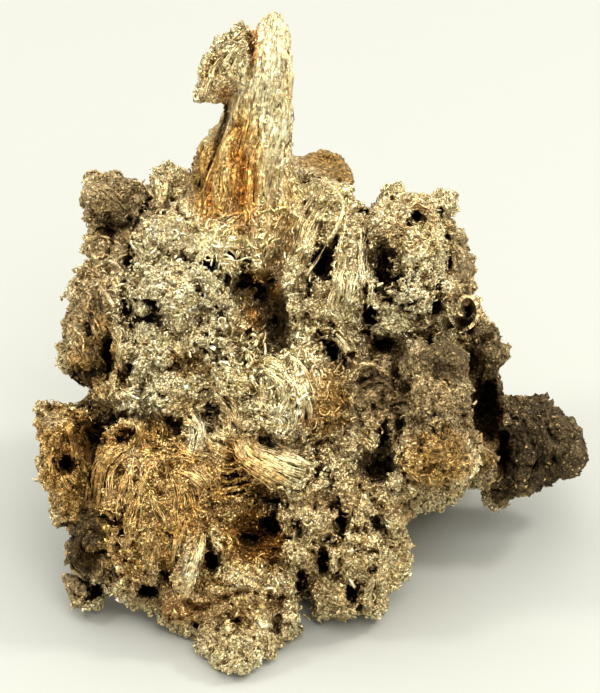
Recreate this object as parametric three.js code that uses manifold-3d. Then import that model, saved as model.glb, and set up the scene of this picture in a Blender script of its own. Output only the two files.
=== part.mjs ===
// Native silver: one intergrown mass of granular and wiry crystals that stands on its own lobes.
//
// Millimetres, +Z up, the viewer in front at -Y. A long front face leans back and carries rounded
// granular lobes, sheaves of parallel wires and open pits. A fluted tower with a hooked head stands
// at its top, a broken stub is behind the tower, and a coarse dark lobe hangs out to the right.
// Everything grew together, so it is one solid.
//
// Most places are given on the front face: across it (+ to the right), up along it, and out from it.

import * as THREE from "three";
import { TessellateModifier } from "three/addons/modifiers/TessellateModifier.js";
import { mergeVertices } from "three/addons/utils/BufferGeometryUtils.js";
import Module from "manifold-3d";

const wasm = await Module();
wasm.setup();

// ---------------------------------------------------------------- driving dimensions

const FACE_LOOKS_UP = THREE.MathUtils.degToRad(35); // the front face's normal is this far above level
const FACE_HEIGHT = 21.4; // the face frame's origin above the resting plane
const GRAIN = 0.19; // how rough a lump is, as a share of its radius
const PIT_GRAIN = 0.3; // and how rough the inside of a pit is
const FINE_LUMP = 3.2; // a lump with a mean radius over this gets the finer mesh
const REST_CUT = 60; // side of the block that trims the feet level
const TRIANGLES = 9400; // what the joined surface is thinned to
const BEND = 0.9; // how far slow noise bends the lumps
const BEND_SIZE = 4.6; // the size of those bends
const KNOB = 1.15; // how high the knobs of the crust stand
const KNOB_SIZE = 2.6; // the size of a knob
const CRUST_EDGE = 1.4; // the longest edge of the lumps' surface when the crust is raised on it
const ROUND_SHARE = 0.3; // the share of edges that one round of thinning looks at
const LENGTH_SHARE = 0.003; // how much an edge's own length counts when edges are merged
const MOST_TURN = 0.25; // a merge may turn a face by no more than the angle with this cosine
const SLIVER = 0.004; // the smallest triangle that a merge may leave, in square millimetres
const FLOOR_BAND = 0.001; // a vertex lower than this is on the resting plane and stays there

// ---------------------------------------------------------------- places

const faceFrame = new THREE.Matrix4().makeBasis(
  new THREE.Vector3(1, 0, 0),
  new THREE.Vector3(0, Math.sin(FACE_LOOKS_UP), Math.cos(FACE_LOOKS_UP)),
  new THREE.Vector3(0, -Math.cos(FACE_LOOKS_UP), Math.sin(FACE_LOOKS_UP)),
);
faceFrame.setPosition(0, 0, FACE_HEIGHT);

// A point given across, up and out of the front face, in the part's frame.
const onFace = (across, up, out) =>
  new THREE.Vector3(across, up, out).applyMatrix4(faceFrame);

// ---------------------------------------------------------------- noise

const scramble = (x, y, z) => {
  const s = Math.sin(x * 127.1 + y * 311.7 + z * 74.7) * 43758.5453;
  return s - Math.floor(s);
};

// Smooth value noise from -1 to 1.
function noise(x, y, z) {
  const [cellX, cellY, cellZ] = [x, y, z].map(Math.floor);
  const [u, v, w] = [x - cellX, y - cellY, z - cellZ].map((t) => t * t * (3 - 2 * t));
  let sum = 0;
  for (let i = 0; i < 8; i++) {
    const [dx, dy, dz] = [i & 1, (i >> 1) & 1, i >> 2];
    const weight = (dx ? u : 1 - u) * (dy ? v : 1 - v) * (dz ? w : 1 - w);
    sum += weight * scramble(cellX + dx, cellY + dy, cellZ + dz);
  }
  return 2 * sum - 1;
}

// The same at a point, with bumps of a size in millimetres. apart sets one noise off from another.
const noiseAt = (v, size, apart) => noise(v.x / size + apart, v.y / size, v.z / size);

// Knobbly growth: broad swellings with sharper knobs on them.
const growth = (x, y, z) =>
  0.65 * noise(x * 1.6, y * 1.6, z * 1.6) +
  0.7 * (0.5 - Math.abs(noise(x * 3.3 + 7, y * 3.3, z * 3.3)));

// ---------------------------------------------------------------- solids

// A closed three.js geometry as a solid.
function solid(geometry) {
  const bare = geometry.clone();
  bare.deleteAttribute("normal");
  bare.deleteAttribute("uv");
  const merged = mergeVertices(bare, 1e-4);
  return new wasm.Manifold(
    new wasm.Mesh({
      numProp: 3,
      vertProperties: new Float32Array(merged.attributes.position.array),
      triVerts: new Uint32Array(merged.index.array),
    }),
  );
}

// A solid's surface as a geometry.
function surfaceOf(body) {
  const mesh = body.getMesh();
  const geometry = new THREE.BufferGeometry();
  geometry.setAttribute("position", new THREE.Float32BufferAttribute(mesh.vertProperties, 3));
  geometry.setIndex(new THREE.Uint32BufferAttribute(mesh.triVerts, 1));
  return geometry;
}

// Moves every vertex of a geometry to where place(vertex, its number) says.
function reshape(geometry, place) {
  const position = geometry.attributes.position;
  const vertex = new THREE.Vector3();
  for (let i = 0; i < position.count; i++) {
    const moved = place(vertex.fromBufferAttribute(position, i), i);
    position.setXYZ(i, moved.x, moved.y, moved.z);
  }
  return geometry;
}

// A knobbly lump with its own three radii, in a frame given by a matrix.
function lump(frame, [x, y, z, rx, ry, rz], grain = GRAIN) {
  const detail = (rx + ry + rz) / 3 > FINE_LUMP ? 3 : 2;
  const ball = new THREE.IcosahedronGeometry(1, detail);
  return solid(
    reshape(ball, (v) => {
      const swell = 1 + grain * growth(v.x + x, v.y + y, v.z + z);
      return v
        .set(x + v.x * rx * swell, y + v.y * ry * swell, z + v.z * rz * swell)
        .applyMatrix4(frame);
    }),
  );
}

const level = new THREE.Matrix4();
const faceLump = (row, grain) => lump(faceFrame, row, grain);
const levelLump = (row, grain) => lump(level, row, grain);

// A sheaf of parallel wires: a ridged rod along a curve, with a half width and a half thickness at
// each point. side is the direction of its width.
function sheaf({ through, widths, depths, side, ridges = 0, ridge = 0, around = 10, along = 8 }) {
  const curve = new THREE.CatmullRomCurve3(through);
  const profile = (values, t) => {
    const at = t * (values.length - 1);
    const low = Math.min(Math.floor(at), values.length - 2);
    return THREE.MathUtils.lerp(values[low], values[low + 1], at - low);
  };
  const rod = new THREE.CylinderGeometry(1, 1, 1, around, along);
  return solid(
    reshape(rod, (v) => {
      const t = v.y + 0.5;
      const tangent = curve.getTangent(t);
      const across = side.clone().addScaledVector(tangent, -side.dot(tangent)).normalize();
      const out = new THREE.Vector3().crossVectors(across, tangent);
      const reach = Math.hypot(v.x, v.z);
      const turn = Math.atan2(v.z, v.x);
      const swell = reach * (1 + ridge * Math.cos(ridges * turn));
      return curve
        .getPoint(t)
        .addScaledVector(across, Math.cos(turn) * swell * profile(widths, t))
        .addScaledVector(out, Math.sin(turn) * swell * profile(depths, t));
    }),
  );
}

// A ribbon of wires rolled up into a scroll: turns of a spiral wall, extruded along the scroll's axis.
function scroll({ centre, axis, radius, wall, turns, length, start, steps = 22 }) {
  const inner = 0.34 * radius;
  const at = (t, offset) => {
    const angle = start + t * turns * 2 * Math.PI;
    const r = THREE.MathUtils.lerp(radius, inner, t) - offset;
    return new THREE.Vector2(r * Math.cos(angle), r * Math.sin(angle));
  };
  const outline = [];
  for (let i = 0; i <= steps; i++) outline.push(at(i / steps, 0));
  for (let i = steps; i >= 0; i--) outline.push(at(i / steps, wall));
  const ribbon = new THREE.ExtrudeGeometry(new THREE.Shape(outline), {
    depth: length,
    bevelEnabled: false,
  });
  const turn = new THREE.Quaternion().setFromUnitVectors(
    new THREE.Vector3(0, 0, 1),
    axis.clone().normalize(),
  );
  const place = new THREE.Matrix4().compose(centre, turn, new THREE.Vector3(1, 1, 1));
  return solid(ribbon.applyMatrix4(place));
}

const ACROSS = new THREE.Vector3(1, 0, 0);
const path = (...points) => points.map((p) => onFace(...p));

// ---------------------------------------------------------------- thinning

// Joining leaves slivers where lumps meet. Here edges are merged, those that move the surface least
// first, until few enough triangles are left. What comes back is still one closed surface.
function thinned(geometry, most) {
  const { position } = geometry.attributes;
  const corners = geometry.index.array;
  const points = [];
  for (let i = 0; i < position.count; i++) points.push(new THREE.Vector3().fromBufferAttribute(position, i));
  let faces = [];
  for (let i = 0; i < corners.length; i += 3) faces.push([...corners.slice(i, i + 3)]);
  while (faces.length > most) {
    const before = faces.length;
    faces = thinOnce(points, faces, most);
    if (faces.length === before) break;
  }
  return surfaceFrom(points, faces);
}

// One round: merges the cheapest edges that don't touch each other.
function thinOnce(points, faces, most) {
  const around = points.map(() => []);
  faces.forEach((face, f) => face.forEach((v) => around[v].push(f)));
  const triangles = faces.map((face) => new THREE.Triangle(...face.map((v) => points[v])));
  const planes = triangles.map((triangle) => triangle.getPlane(new THREE.Plane()));
  const areas = triangles.map((triangle) => triangle.getArea());

  const cost = (a, b, target) => {
    let sum = LENGTH_SHARE * points[a].distanceToSquared(points[b]);
    for (const f of [...around[a], ...around[b]]) sum += areas[f] * planes[f].distanceToPoint(target) ** 2;
    return sum;
  };
  const merges = [];
  for (const face of faces) {
    for (let k = 0; k < 3; k++) {
      const [a, b] = [face[k], face[(k + 1) % 3]];
      if (a > b) continue;
      const onFloor = [points[a].z < FLOOR_BAND, points[b].z < FLOOR_BAND];
      const halfway = points[a].clone().lerp(points[b], 0.5);
      const targets = [points[a], points[b], halfway].filter(
        (target, i) => onFloor[0] === onFloor[1] || (i < 2 && onFloor[i]),
      );
      const costs = targets.map((target) => cost(a, b, target));
      const least = Math.min(...costs);
      merges.push({ a, b, target: targets[costs.indexOf(least)].clone(), least });
    }
  }
  merges.sort((one, other) => one.least - other.least);

  const neighbours = (v) => new Set(around[v].flatMap((f) => faces[f]).filter((other) => other !== v));
  const turns = (v, other, target) =>
    around[v].some((f) => {
      if (faces[f].includes(other)) return false;
      const moved = new THREE.Triangle(...faces[f].map((w) => (w === v ? target : points[w])));
      if (areas[f] < SLIVER) return moved.getArea() < areas[f];
      const normal = moved.getNormal(new THREE.Vector3());
      return moved.getArea() < SLIVER || normal.dot(planes[f].normal) < MOST_TURN;
    });

  const touched = new Set();
  const gone = new Set();
  let left = faces.length;
  for (const { a, b, target } of merges.slice(0, Math.ceil(merges.length * ROUND_SHARE))) {
    if (left <= most) break;
    if (touched.has(a) || touched.has(b)) continue;
    const [nearA, nearB] = [neighbours(a), neighbours(b)];
    const shared = [...nearA].filter((v) => nearB.has(v));
    if (shared.length !== 2 || turns(a, b, target) || turns(b, a, target)) continue;
    [a, b, ...nearA, ...nearB].forEach((v) => touched.add(v));
    points[a].copy(target);
    for (const f of around[b]) {
      if (faces[f].includes(a)) gone.add(f);
      else faces[f] = faces[f].map((v) => (v === b ? a : v));
    }
    left -= 2;
  }
  return faces.filter((face, f) => !gone.has(f));
}

// The faces as a geometry, without the vertices that none of them uses.
function surfaceFrom(points, faces) {
  const numbers = new Map();
  const vertices = [];
  const triangles = faces.flat().map((v) => {
    if (!numbers.has(v)) {
      numbers.set(v, numbers.size);
      vertices.push(...points[v].toArray());
    }
    return numbers.get(v);
  });
  const geometry = new THREE.BufferGeometry();
  geometry.setAttribute("position", new THREE.Float32BufferAttribute(vertices, 3));
  geometry.setIndex(triangles);
  return geometry;
}

// ---------------------------------------------------------------- the mass

// The bulk behind the front face, and the back and underside that it is broken off along.
// [x, y, z, radius x, radius y, radius z]
const bulk = [
  [-1, 5.2, 9.5, 16.5, 12, 9],
  [-1, 8.4, 19, 14.5, 8.8, 8.6],
  [-11, 9.5, 6.2, 6.5, 5.6, 6.6],
  [9.5, 8.2, 6.0, 6.2, 5.6, 6.4],
  [-13.5, 9.5, 15, 5.4, 5.2, 5.6],
  [-5, 13.2, 12, 5.6, 4.6, 5.8],
  [5, 13, 10, 5.4, 4.4, 5.4],
  [12.5, 9.5, 14.5, 4.6, 4.8, 5.2],
  [-9, 13.2, 21.5, 4.6, 4.2, 4.8],
  [0.5, 14.5, 20, 5.2, 4.0, 5.2],
  [8.5, 12.4, 20.5, 4.8, 4.2, 4.6],
  [-2.5, 13, 26, 4.2, 3.6, 3.8],
  [9, 11, 26.0, 3.6, 3.0, 3.2],
  [1, 12.5, 3.4, 5.0, 4.2, 3.8],
  [-2, -5.5, 5.5, 11, 5.5, 5.0],
];

// Broad slabs under the front face's lumps, so that the lumps stand on a surface and not on each other.
const slabs = [
  [-11.2, 4.4, -4.4, 7.2, 9.2, 4.4],
  [9.6, 6.6, -4.3, 5.0, 6.4, 4.7],
  [-12.0, -13.0, -3.0, 7.2, 8.4, 5.0],
  [11.2, -6.0, -2.4, 4.2, 6.4, 4.2],
  [3.8, -16.8, -2.4, 5.6, 5.8, 3.8],
  [0.8, -4.0, -2.2, 6.4, 6.4, 3.8],
  [-5.0, -21.8, -1.2, 5.2, 4.0, 3.4],
  [-18.9, -9.6, -4.0, 3.2, 4.6, 3.8],
  [-15.6, 4.6, -5.4, 2.9, 6.2, 3.8],
];

// The left shoulder: a round head on top, ledges and ribs down the side.
const leftShoulder = [
  [-15.5, 12.4, -6, 2.8, 2.4, 2.9],
  [-13.4, 11.2, -4.6, 2.1, 2.0, 2.2],
  [-11.8, 13.4, -4.6, 1.0, 2.0, 1.2],
  [-16.4, 8.5, -5, 2.5, 1.8, 2.6],
  [-17.0, 5.4, -4.2, 2.1, 2.2, 2.7],
  [-19.0, 4.7, -4.4, 0.9, 0.6, 0.9],
  [-18.0, 2.0, -3.6, 2.0, 2.4, 2.7],
  [-18.6, -0.5, -3.6, 2.0, 2.0, 2.5],
  [-16.7, -2.7, -3.6, 1.7, 1.9, 2.5],
];

// The bright granular ridge that runs down the left of the middle.
const silverRidge = [
  [-9.8, 12.0, -3.6, 3.2, 2.9, 3.0],
  [-8.2, 8.8, -2.2, 2.9, 2.8, 3.2],
  [-11.8, 8.4, -2.0, 2.9, 3.1, 3.6],
  [-14.5, 6.4, -3.8, 2.2, 2.6, 2.8],
  [-13.8, 3.4, -2.4, 2.6, 3.0, 3.4],
  [-10.4, 4.8, -0.9, 3.1, 3.2, 3.8],
  [-7.2, 6.0, -2.0, 2.2, 2.3, 2.9],
  [-7.2, 2.8, -1.2, 2.3, 2.4, 3.0],
  [-12.9, 0.0, -1.1, 3.0, 2.9, 3.5],
  [-8.8, 0.0, -0.6, 2.8, 2.7, 3.6],
  [-14.4, -3.3, -1.4, 2.8, 2.4, 2.6],
  [-10.7, -3.5, -0.4, 2.9, 2.2, 3.0],
  [-6.4, -3.0, -0.3, 2.9, 2.6, 3.2],
];

// The right shoulder: a slanting sheet, a wiry column and a granular block with holes.
const rightShoulder = [
  [1.4, 11.2, -3.6, 2.7, 2.7, 2.4],
  [0.1, 7.8, -2.6, 1.8, 2.8, 2.4],
  [-0.6, 4.4, -2.0, 1.9, 2.3, 2.2],
  [3.4, 4.6, -1.0, 2.6, 2.4, 3.0],
  [1.4, 2.0, -1.2, 2.6, 2.3, 2.4],
  [8.6, 9.9, -2.4, 2.7, 2.3, 3.2],
  [10.9, 10.0, -2.7, 2.1, 2.3, 2.8],
  [12.3, 11.4, -2.7, 1.2, 1.5, 1.6],
  [9.9, 7.8, -0.9, 2.9, 2.7, 3.4],
  [8.4, 4.6, -0.3, 2.8, 2.5, 3.4],
  [10.8, 4.4, -1.2, 2.3, 2.4, 3.0],
  [7.6, 1.7, -0.9, 2.2, 1.6, 2.4],
  [11.9, 7.6, -3.2, 1.2, 1.6, 2.0],
  [12.0, 5.6, -3.4, 1.2, 1.2, 1.8],
];

// The middle: wavy wires over low lumps, and a small holed knob.
const middle = [
  [-0.8, -2.4, -0.9, 3.1, 2.9, 3.0],
  [-2.6, -5.8, -0.4, 2.8, 2.5, 3.0],
  [0.8, -5.4, -0.8, 2.8, 2.8, 3.0],
  [3.8, -0.4, -1.5, 2.7, 2.3, 2.6],
  [6.4, -4.6, -0.6, 2.0, 2.0, 2.0],
  [4.9, -8.0, -1.0, 3.0, 2.7, 2.8],
  [5.6, -2.2, -1.6, 3.2, 2.4, 2.4],
];

// The round knob on the right.
const knob = [
  [11.4, -1.9, -0.4, 3.0, 2.3, 3.2],
  [11.6, -5.2, 0.6, 2.7, 2.9, 3.6],
  [11.2, -8.9, 0.8, 2.9, 2.6, 3.4],
  [8.8, -10.9, -0.6, 2.4, 2.1, 2.8],
  [12.4, -11.2, -1.6, 1.8, 1.2, 2.0],
];

// The coarse dark lobe that hangs out to the right, and the small lumps that tie it on.
const darkLobe = [
  [20.0, -8.3, -10, 3.6, 3.6, 3.6],
  [17.0, -6.8, -9.6, 3.1, 2.8, 3.2],
  [22.0, -8.4, -10, 1.5, 2.1, 2.4],
  [19.2, -10.3, -9.8, 3.4, 1.9, 3.0],
  [15.0, -8.4, -10.4, 3.0, 3.2, 2.8],
  [15.5, -9.5, -5.8, 1.4, 1.8, 3.0],
  [16.4, -3.4, -8.6, 1.2, 2.0, 1.8],
  [16.5, -0.4, -7.8, 1.5, 2.0, 1.8],
  [13.9, -1.4, -8.0, 2.2, 2.6, 2.4],
  [17.6, -12.1, -10.2, 0.7, 1.3, 0.9],
];

// The lower right: granular lobes down to the resting plane.
const lowerRight = [
  [0.9, -13.9, 1.1, 2.9, 2.5, 3.2],
  [4.5, -13.0, 0.2, 2.5, 2.3, 3.0],
  [7.2, -13.2, -0.9, 2.5, 2.0, 2.8],
  [4.2, -17.0, 0.3, 2.8, 2.4, 3.4],
  [6.6, -18.0, -1.4, 1.8, 2.3, 2.8],
  [0.2, -17.4, 0.5, 2.0, 2.1, 2.6],
  [3.2, -20.9, -1.8, 2.2, 2.0, 2.8],
  [5.7, -20.9, -2.2, 2.0, 1.6, 2.2],
];

// The golden face on the lower left, the lobe beside it and the dark corner below.
const goldenFace = [
  [-12.8, -9.8, -1.0, 3.6, 3.6, 3.4],
  [-8.4, -11.4, -0.4, 4.3, 4.2, 3.6],
  [-11.9, -14.4, -0.6, 4.6, 4.2, 3.8],
  [-7.2, -8.0, -0.3, 3.4, 3.0, 3.0],
  [-15.8, -13.2, -1.9, 3.1, 3.8, 3.0],
  [-8.0, -16.6, -0.2, 3.2, 3.1, 3.2],
  [-13.7, -19.4, -1.6, 2.9, 2.2, 2.9],
  [-16.7, -17.4, -2.4, 2.3, 2.9, 3.0],
  [-17.9, -21.4, -3.6, 1.6, 1.5, 2.0],
  [-20.4, -7.0, -2.0, 2.3, 2.4, 2.7],
  [-20.1, -11.2, -2.0, 2.0, 2.3, 2.6],
  [-18.9, -13.6, -2.2, 2.3, 1.7, 2.4],
];

// The lowest lobes, in front.
const frontLobes = [
  [-4.7, -21.2, 0.3, 3.8, 2.9, 3.3],
  [-9.0, -21.6, -0.5, 2.7, 2.2, 2.9],
  [-5.1, -24.8, 1.4, 2.8, 2.5, 2.6],
  [-2.8, -22.2, 0.4, 2.3, 2.3, 2.6],
  [-4.2, -15.4, -1.0, 1.6, 1.6, 1.8],
];

// Pits that go into the front face, group by group.
const pits = [
  // the deep crevice between the silver ridge and the right shoulder
  [-3.2, 4.4, 3.4, 2.5, 4.8, 4.0],
  [-2.6, 7.2, -1.6, 1.2, 3.0, 4.2],
  [-4.2, 4.6, -0.4, 1.9, 2.2, 4.8],
  [-2.2, 1.6, 0.8, 1.6, 3.2, 6.6],
  [-0.9, 9.6, 0.6, 0.8, 2.0, 3.8],
  // holes in the right shoulder
  [7.4, 6.7, 1.2, 1.7, 2.3, 5.0],
  [9.9, 11.0, 0.4, 0.8, 0.9, 3.0],
  [1.9, 7.3, 0.4, 1.2, 1.6, 4.4],
  [3.0, 9.2, -0.4, 0.7, 1.3, 3.6],
  [6.0, 2.6, 1.6, 0.8, 1.0, 3.8],
  [11.6, 3.6, 1.0, 0.6, 1.0, 2.6],
  [13.9, 1.6, -1.2, 1.4, 1.1, 3.6],
  // the gap between the right shoulder and the knob below it
  [7.2, 0.1, 1.0, 1.4, 0.8, 3.4],
  [11.0, 0.8, 0.8, 1.2, 0.8, 3.2],
  [14.7, -1.6, -2.6, 0.7, 2.0, 4.6],
  // the gulf between the knob and the dark lobe
  [15.9, -5.3, -3.0, 1.7, 3.0, 6.8],
  [17.5, -9.3, -6.2, 0.6, 2.2, 3.6],
  // under the left shoulder's flap, and between its ribs
  [-16.2, 9.9, -1.6, 1.5, 0.6, 3.6],
  [-14.4, 7.2, 0.4, 0.7, 1.1, 3.6],
  [-14.6, 3.2, 0.8, 1.1, 0.6, 3.0],
  [-16.4, -0.8, -0.4, 0.8, 2.5, 3.4],
  [-18.6, -3.2, -1.6, 0.8, 1.0, 3.0],
  // the notch between the left shoulder and the lobe below it
  [-20.2, -4.1, -2.4, 2.7, 0.9, 6.0],
  // small pits of the silver ridge
  [-12.5, 3.8, 1.4, 0.9, 0.6, 3.0],
  [-7.8, 7.0, 0.8, 0.7, 0.8, 2.8],
  [-5.8, 7.6, 0.2, 0.9, 0.5, 2.8],
  [-9.4, -1.2, 2.6, 1.2, 0.8, 1.8],
  // round the small holed knob and below it
  [2.8, -0.4, 1.2, 0.8, 1.5, 3.2],
  [6.8, -10.1, 1.6, 1.8, 1.5, 4.6],
  [7.0, -7.6, 1.8, 0.7, 1.5, 3.6],
  // hollows of the golden face
  [-17.7, -8.1, 0.4, 1.7, 2.1, 3.8],
  [-14.9, -7.5, 1.4, 1.0, 0.8, 3.4],
  [-20.1, -10.1, 0.4, 0.8, 0.8, 2.6],
  [-10.6, -7.0, 2.8, 1.1, 1.4, 1.8],
  [-5.1, -11.2, 3.0, 1.6, 2.0, 2.8],
  [-3.9, -15.8, 3.0, 2.5, 2.1, 4.4],
  [-2.4, -15.2, 1.6, 1.0, 1.0, 4.8],
  [-7.4, -18.2, 2.6, 0.7, 0.9, 3.2],
  [-17.6, -20.8, -1.0, 0.9, 0.8, 3.2],
  [-12.9, -20.8, 1.2, 1.2, 0.9, 3.0],
  // pits of the lower right
  [2.0, -18.2, 3.0, 0.6, 1.4, 3.6],
  [0.1, -20.2, 1.6, 0.8, 1.5, 3.2],
  [0.4, -22.6, 0.6, 0.9, 1.9, 6.0],
  [4.4, -20.9, 1.0, 0.7, 1.0, 3.6],
  [3.5, -15.2, 3.0, 0.6, 1.4, 2.6],
];

// What is left standing in the hollows: a tongue, and a small knob.
const inHollows = [
  [8.1, 6.6, -0.8, 0.7, 1.1, 1.8],
  [-4.3, -15.0, 1.0, 1.1, 0.9, 1.4],
];

// ---------------------------------------------------------------- wires, ribbons and the tower

// The tower: a fluted bundle of straight wires that narrows and leans back a little.
const tower = sheaf({
  through: path(
    [-5.0, 6.6, -5.2],
    [-5.0, 11.2, -3.9],
    [-4.8, 15.4, -2.6],
    [-3.8, 18.4, -1.7],
    [-3.6, 21.2, -0.9],
    [-3.0, 24.0, 0.0],
    [-2.5, 26.4, 0.7],
    [-2.3, 28.4, 1.2],
  ),
  widths: [5.5, 5.2, 4.4, 3.0, 2.8, 2.3, 1.5, 0.5],
  depths: [3.6, 3.3, 3.0, 2.6, 2.3, 2.1, 1.4, 0.5],
  side: ACROSS,
  ridges: 9,
  ridge: 0.08,
  around: 36,
  along: 14,
});

// The hooked head: a slanting sheaf across the tower's left side, with a lip that hangs off its end.
const head = [
  sheaf({
    through: path([-8.2, 20.9, 0.6], [-7.2, 23.2, 0.9], [-5.9, 25.4, 1.0], [-4.6, 27.3, 0.9]),
    widths: [0.9, 1.5, 1.6, 0.6],
    depths: [1.0, 1.5, 1.5, 0.6],
    side: ACROSS,
    ridges: 5,
    ridge: 0.1,
    around: 14,
    along: 6,
  }),
  faceLump([-5.2, 23.8, 0.4, 1.9, 2.5, 1.9]),
  faceLump([-8.0, 21.4, 0.6, 1.2, 1.2, 1.2]),
  faceLump([-6.4, 21.7, 0.3, 1.4, 1.2, 1.4]),
];

// The broken stub behind the tower.
function stub() {
  const block = new THREE.BoxGeometry(5.2, 5.4, 11, 3, 3, 5);
  reshape(block, (v) => {
    const swell = 1 + 0.16 * noise(v.x * 0.7 + 3, v.y * 0.7, v.z * 0.7);
    return v.multiplyScalar(swell);
  });
  const place = new THREE.Matrix4().makeRotationFromEuler(new THREE.Euler(-0.12, 0.1, 0.25));
  place.setPosition(1.3, 15.2, 24.0);
  return solid(block.applyMatrix4(place));
}

// Sheaves that stand out of the face.
const sheaves = [
  // the wiry column of the right shoulder
  {
    through: path([4.5, 11.4, -3.4], [4.5, 9.3, -1.6], [4.4, 7.0, -0.7], [4.0, 4.0, -0.2]),
    widths: [2.0, 1.8, 1.9, 2.2],
    depths: [1.6, 1.7, 1.8, 1.6],
  },
  // the bright sheaf that sweeps across the middle
  {
    through: path([-5.0, -7.4, 1.2], [-4.2, -9.6, 2.2], [-1.6, -10.6, 2.6], [1.8, -12.2, 2.2]),
    widths: [0.7, 1.6, 1.8, 2.0],
    depths: [0.6, 1.0, 1.1, 1.2],
  },
  // wavy wires that run down the centre
  {
    through: path([0.4, 0.6, 0.6], [1.2, -2.0, 1.7], [0.9, -4.6, 2.0], [-0.6, -7.4, 1.8]),
    widths: [1.0, 1.6, 1.7, 1.0],
    depths: [0.8, 1.1, 1.1, 0.8],
  },
  // the pale strap beside the golden face
  {
    through: path([-8.3, -15.4, 3.0], [-9.4, -17.6, 3.0], [-9.8, -19.8, 2.4], [-10.2, -22.0, 1.4]),
    widths: [0.5, 0.9, 1.1, 1.0],
    depths: [0.5, 0.8, 0.8, 0.7],
  },
  // the golden face's fall of wires
  {
    through: path([-13.2, -8.6, 1.6], [-13.4, -11.4, 2.4], [-12.8, -14.6, 2.4], [-12.0, -17.4, 1.2]),
    widths: [1.4, 2.9, 3.8, 3.4],
    depths: [0.9, 1.3, 1.3, 0.9],
    ridges: 9,
    around: 36,
  },
  // two swept locks at the top of the golden face
  {
    through: path([-13.4, -6.6, 1.4], [-15.2, -7.6, 1.8], [-16.4, -9.6, 1.4], [-17.0, -11.6, 0.6]),
    widths: [0.9, 1.4, 1.4, 0.9],
    depths: [0.8, 1.0, 1.0, 0.7],
  },
  {
    through: path([-9.6, -5.0, 1.2], [-9.2, -7.0, 2.2], [-9.8, -8.6, 2.6], [-11.0, -10.0, 2.4]),
    widths: [0.9, 1.1, 1.1, 0.7],
    depths: [0.7, 0.9, 0.9, 0.6],
  },
].map((row) => sheaf({ side: ACROSS, ridges: 4, ridge: 0.12, around: 12, along: 6, ...row }));

// Gills: thin parallel blades across the hollow beside the golden face.
const gills = [0, 1, 2, 3].map((i) =>
  sheaf({
    through: path(
      [-6.6, -10.4 - 0.95 * i, 2.3],
      [-5.0, -10.1 - 0.95 * i, 2.9],
      [-3.4, -9.6 - 0.95 * i, 2.4],
    ),
    widths: [0.25, 0.3, 0.25],
    depths: [0.9, 1.0, 0.9],
    side: new THREE.Vector3(0, Math.sin(FACE_LOOKS_UP), Math.cos(FACE_LOOKS_UP)),
    around: 6,
    along: 4,
  }),
);

// The rolled ribbon at the right edge.
const rolledRibbon = scroll({
  centre: onFace(13.5, 3.0, -4.6),
  axis: onFace(0.25, 0.1, 1).sub(onFace(0, 0, 0)),
  radius: 2.1,
  wall: 0.55,
  turns: 1.35,
  length: 3.8,
  start: 1.2,
});

// ---------------------------------------------------------------- joining

const lobes = [
  ...slabs,
  ...leftShoulder,
  ...silverRidge,
  ...rightShoulder,
  ...middle,
  ...knob,
  ...darkLobe,
  ...lowerRight,
  ...goldenFace,
  ...frontLobes,
];

// The joined lumps with a crust raised on them: the surface is bent by slow noise, so that no lump
// stays round, and pushed in and out by knobs and hollows.
function crusted(body) {
  const fine = new TessellateModifier(CRUST_EDGE, 8).modify(surfaceOf(body).toNonIndexed());
  fine.deleteAttribute("normal");
  const crust = mergeVertices(fine, 1e-4);
  crust.computeVertexNormals();
  const bends = (v) => new THREE.Vector3(...[17, 41, 83].map((apart) => noiseAt(v, BEND_SIZE, apart)));
  return solid(
    reshape(crust, (v, i) => {
      const normal = new THREE.Vector3().fromBufferAttribute(crust.attributes.normal, i);
      const knobs = 0.5 - Math.abs(noiseAt(v, KNOB_SIZE, 5));
      const hollows = 0.5 * noiseAt(v, KNOB_SIZE / 2, 9);
      return v.addScaledVector(bends(v), BEND).addScaledVector(normal, KNOB * (knobs + hollows));
    }),
  );
}

const join = (solids) => solids.reduce((whole, next) => whole.add(next));
const mass = join([...bulk.map((row) => levelLump(row)), ...lobes.map((row) => faceLump(row))]);
const pitted = pits.reduce((rest, row) => rest.subtract(faceLump(row, PIT_GRAIN)), crusted(mass));
const standing = inHollows.map((row) => faceLump(row));
const grown = join([pitted, ...standing, tower, ...head, stub(), ...sheaves, ...gills, rolledRibbon]);

const below = new THREE.BoxGeometry(REST_CUT, REST_CUT, REST_CUT).translate(0, 0, -REST_CUT / 2);
const whole = grown.subtract(solid(below));
const largest = whole.decompose().sort((a, b) => b.volume() - a.volume())[0];

const geometry = thinned(surfaceOf(largest), TRIANGLES);
geometry.computeVertexNormals();

// Centred over its resting plane.
geometry.computeBoundingBox();
const middleOfBox = geometry.boundingBox.getCenter(new THREE.Vector3());
geometry.translate(-middleOfBox.x, -middleOfBox.y, 0);

const silver = new THREE.MeshStandardMaterial({
  name: "native_silver",
  color: 0xb09a6c,
  roughness: 0.38,
  metalness: 0.9,
});

const nativeSilver = new THREE.Mesh(geometry, silver);
nativeSilver.name = "native_silver";

const specimen = new THREE.Group();
specimen.name = "native_silver_specimen";
specimen.add(nativeSilver);

export default specimen;
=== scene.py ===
"""Native silver: a wiry, granular mass of grown-together crystals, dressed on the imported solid."""
import itertools
import math

import bpy
import numpy as np
from bpy.props import FloatProperty, FloatVectorProperty, IntProperty, PointerProperty
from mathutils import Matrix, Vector
from mathutils.bvhtree import BVHTree


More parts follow.
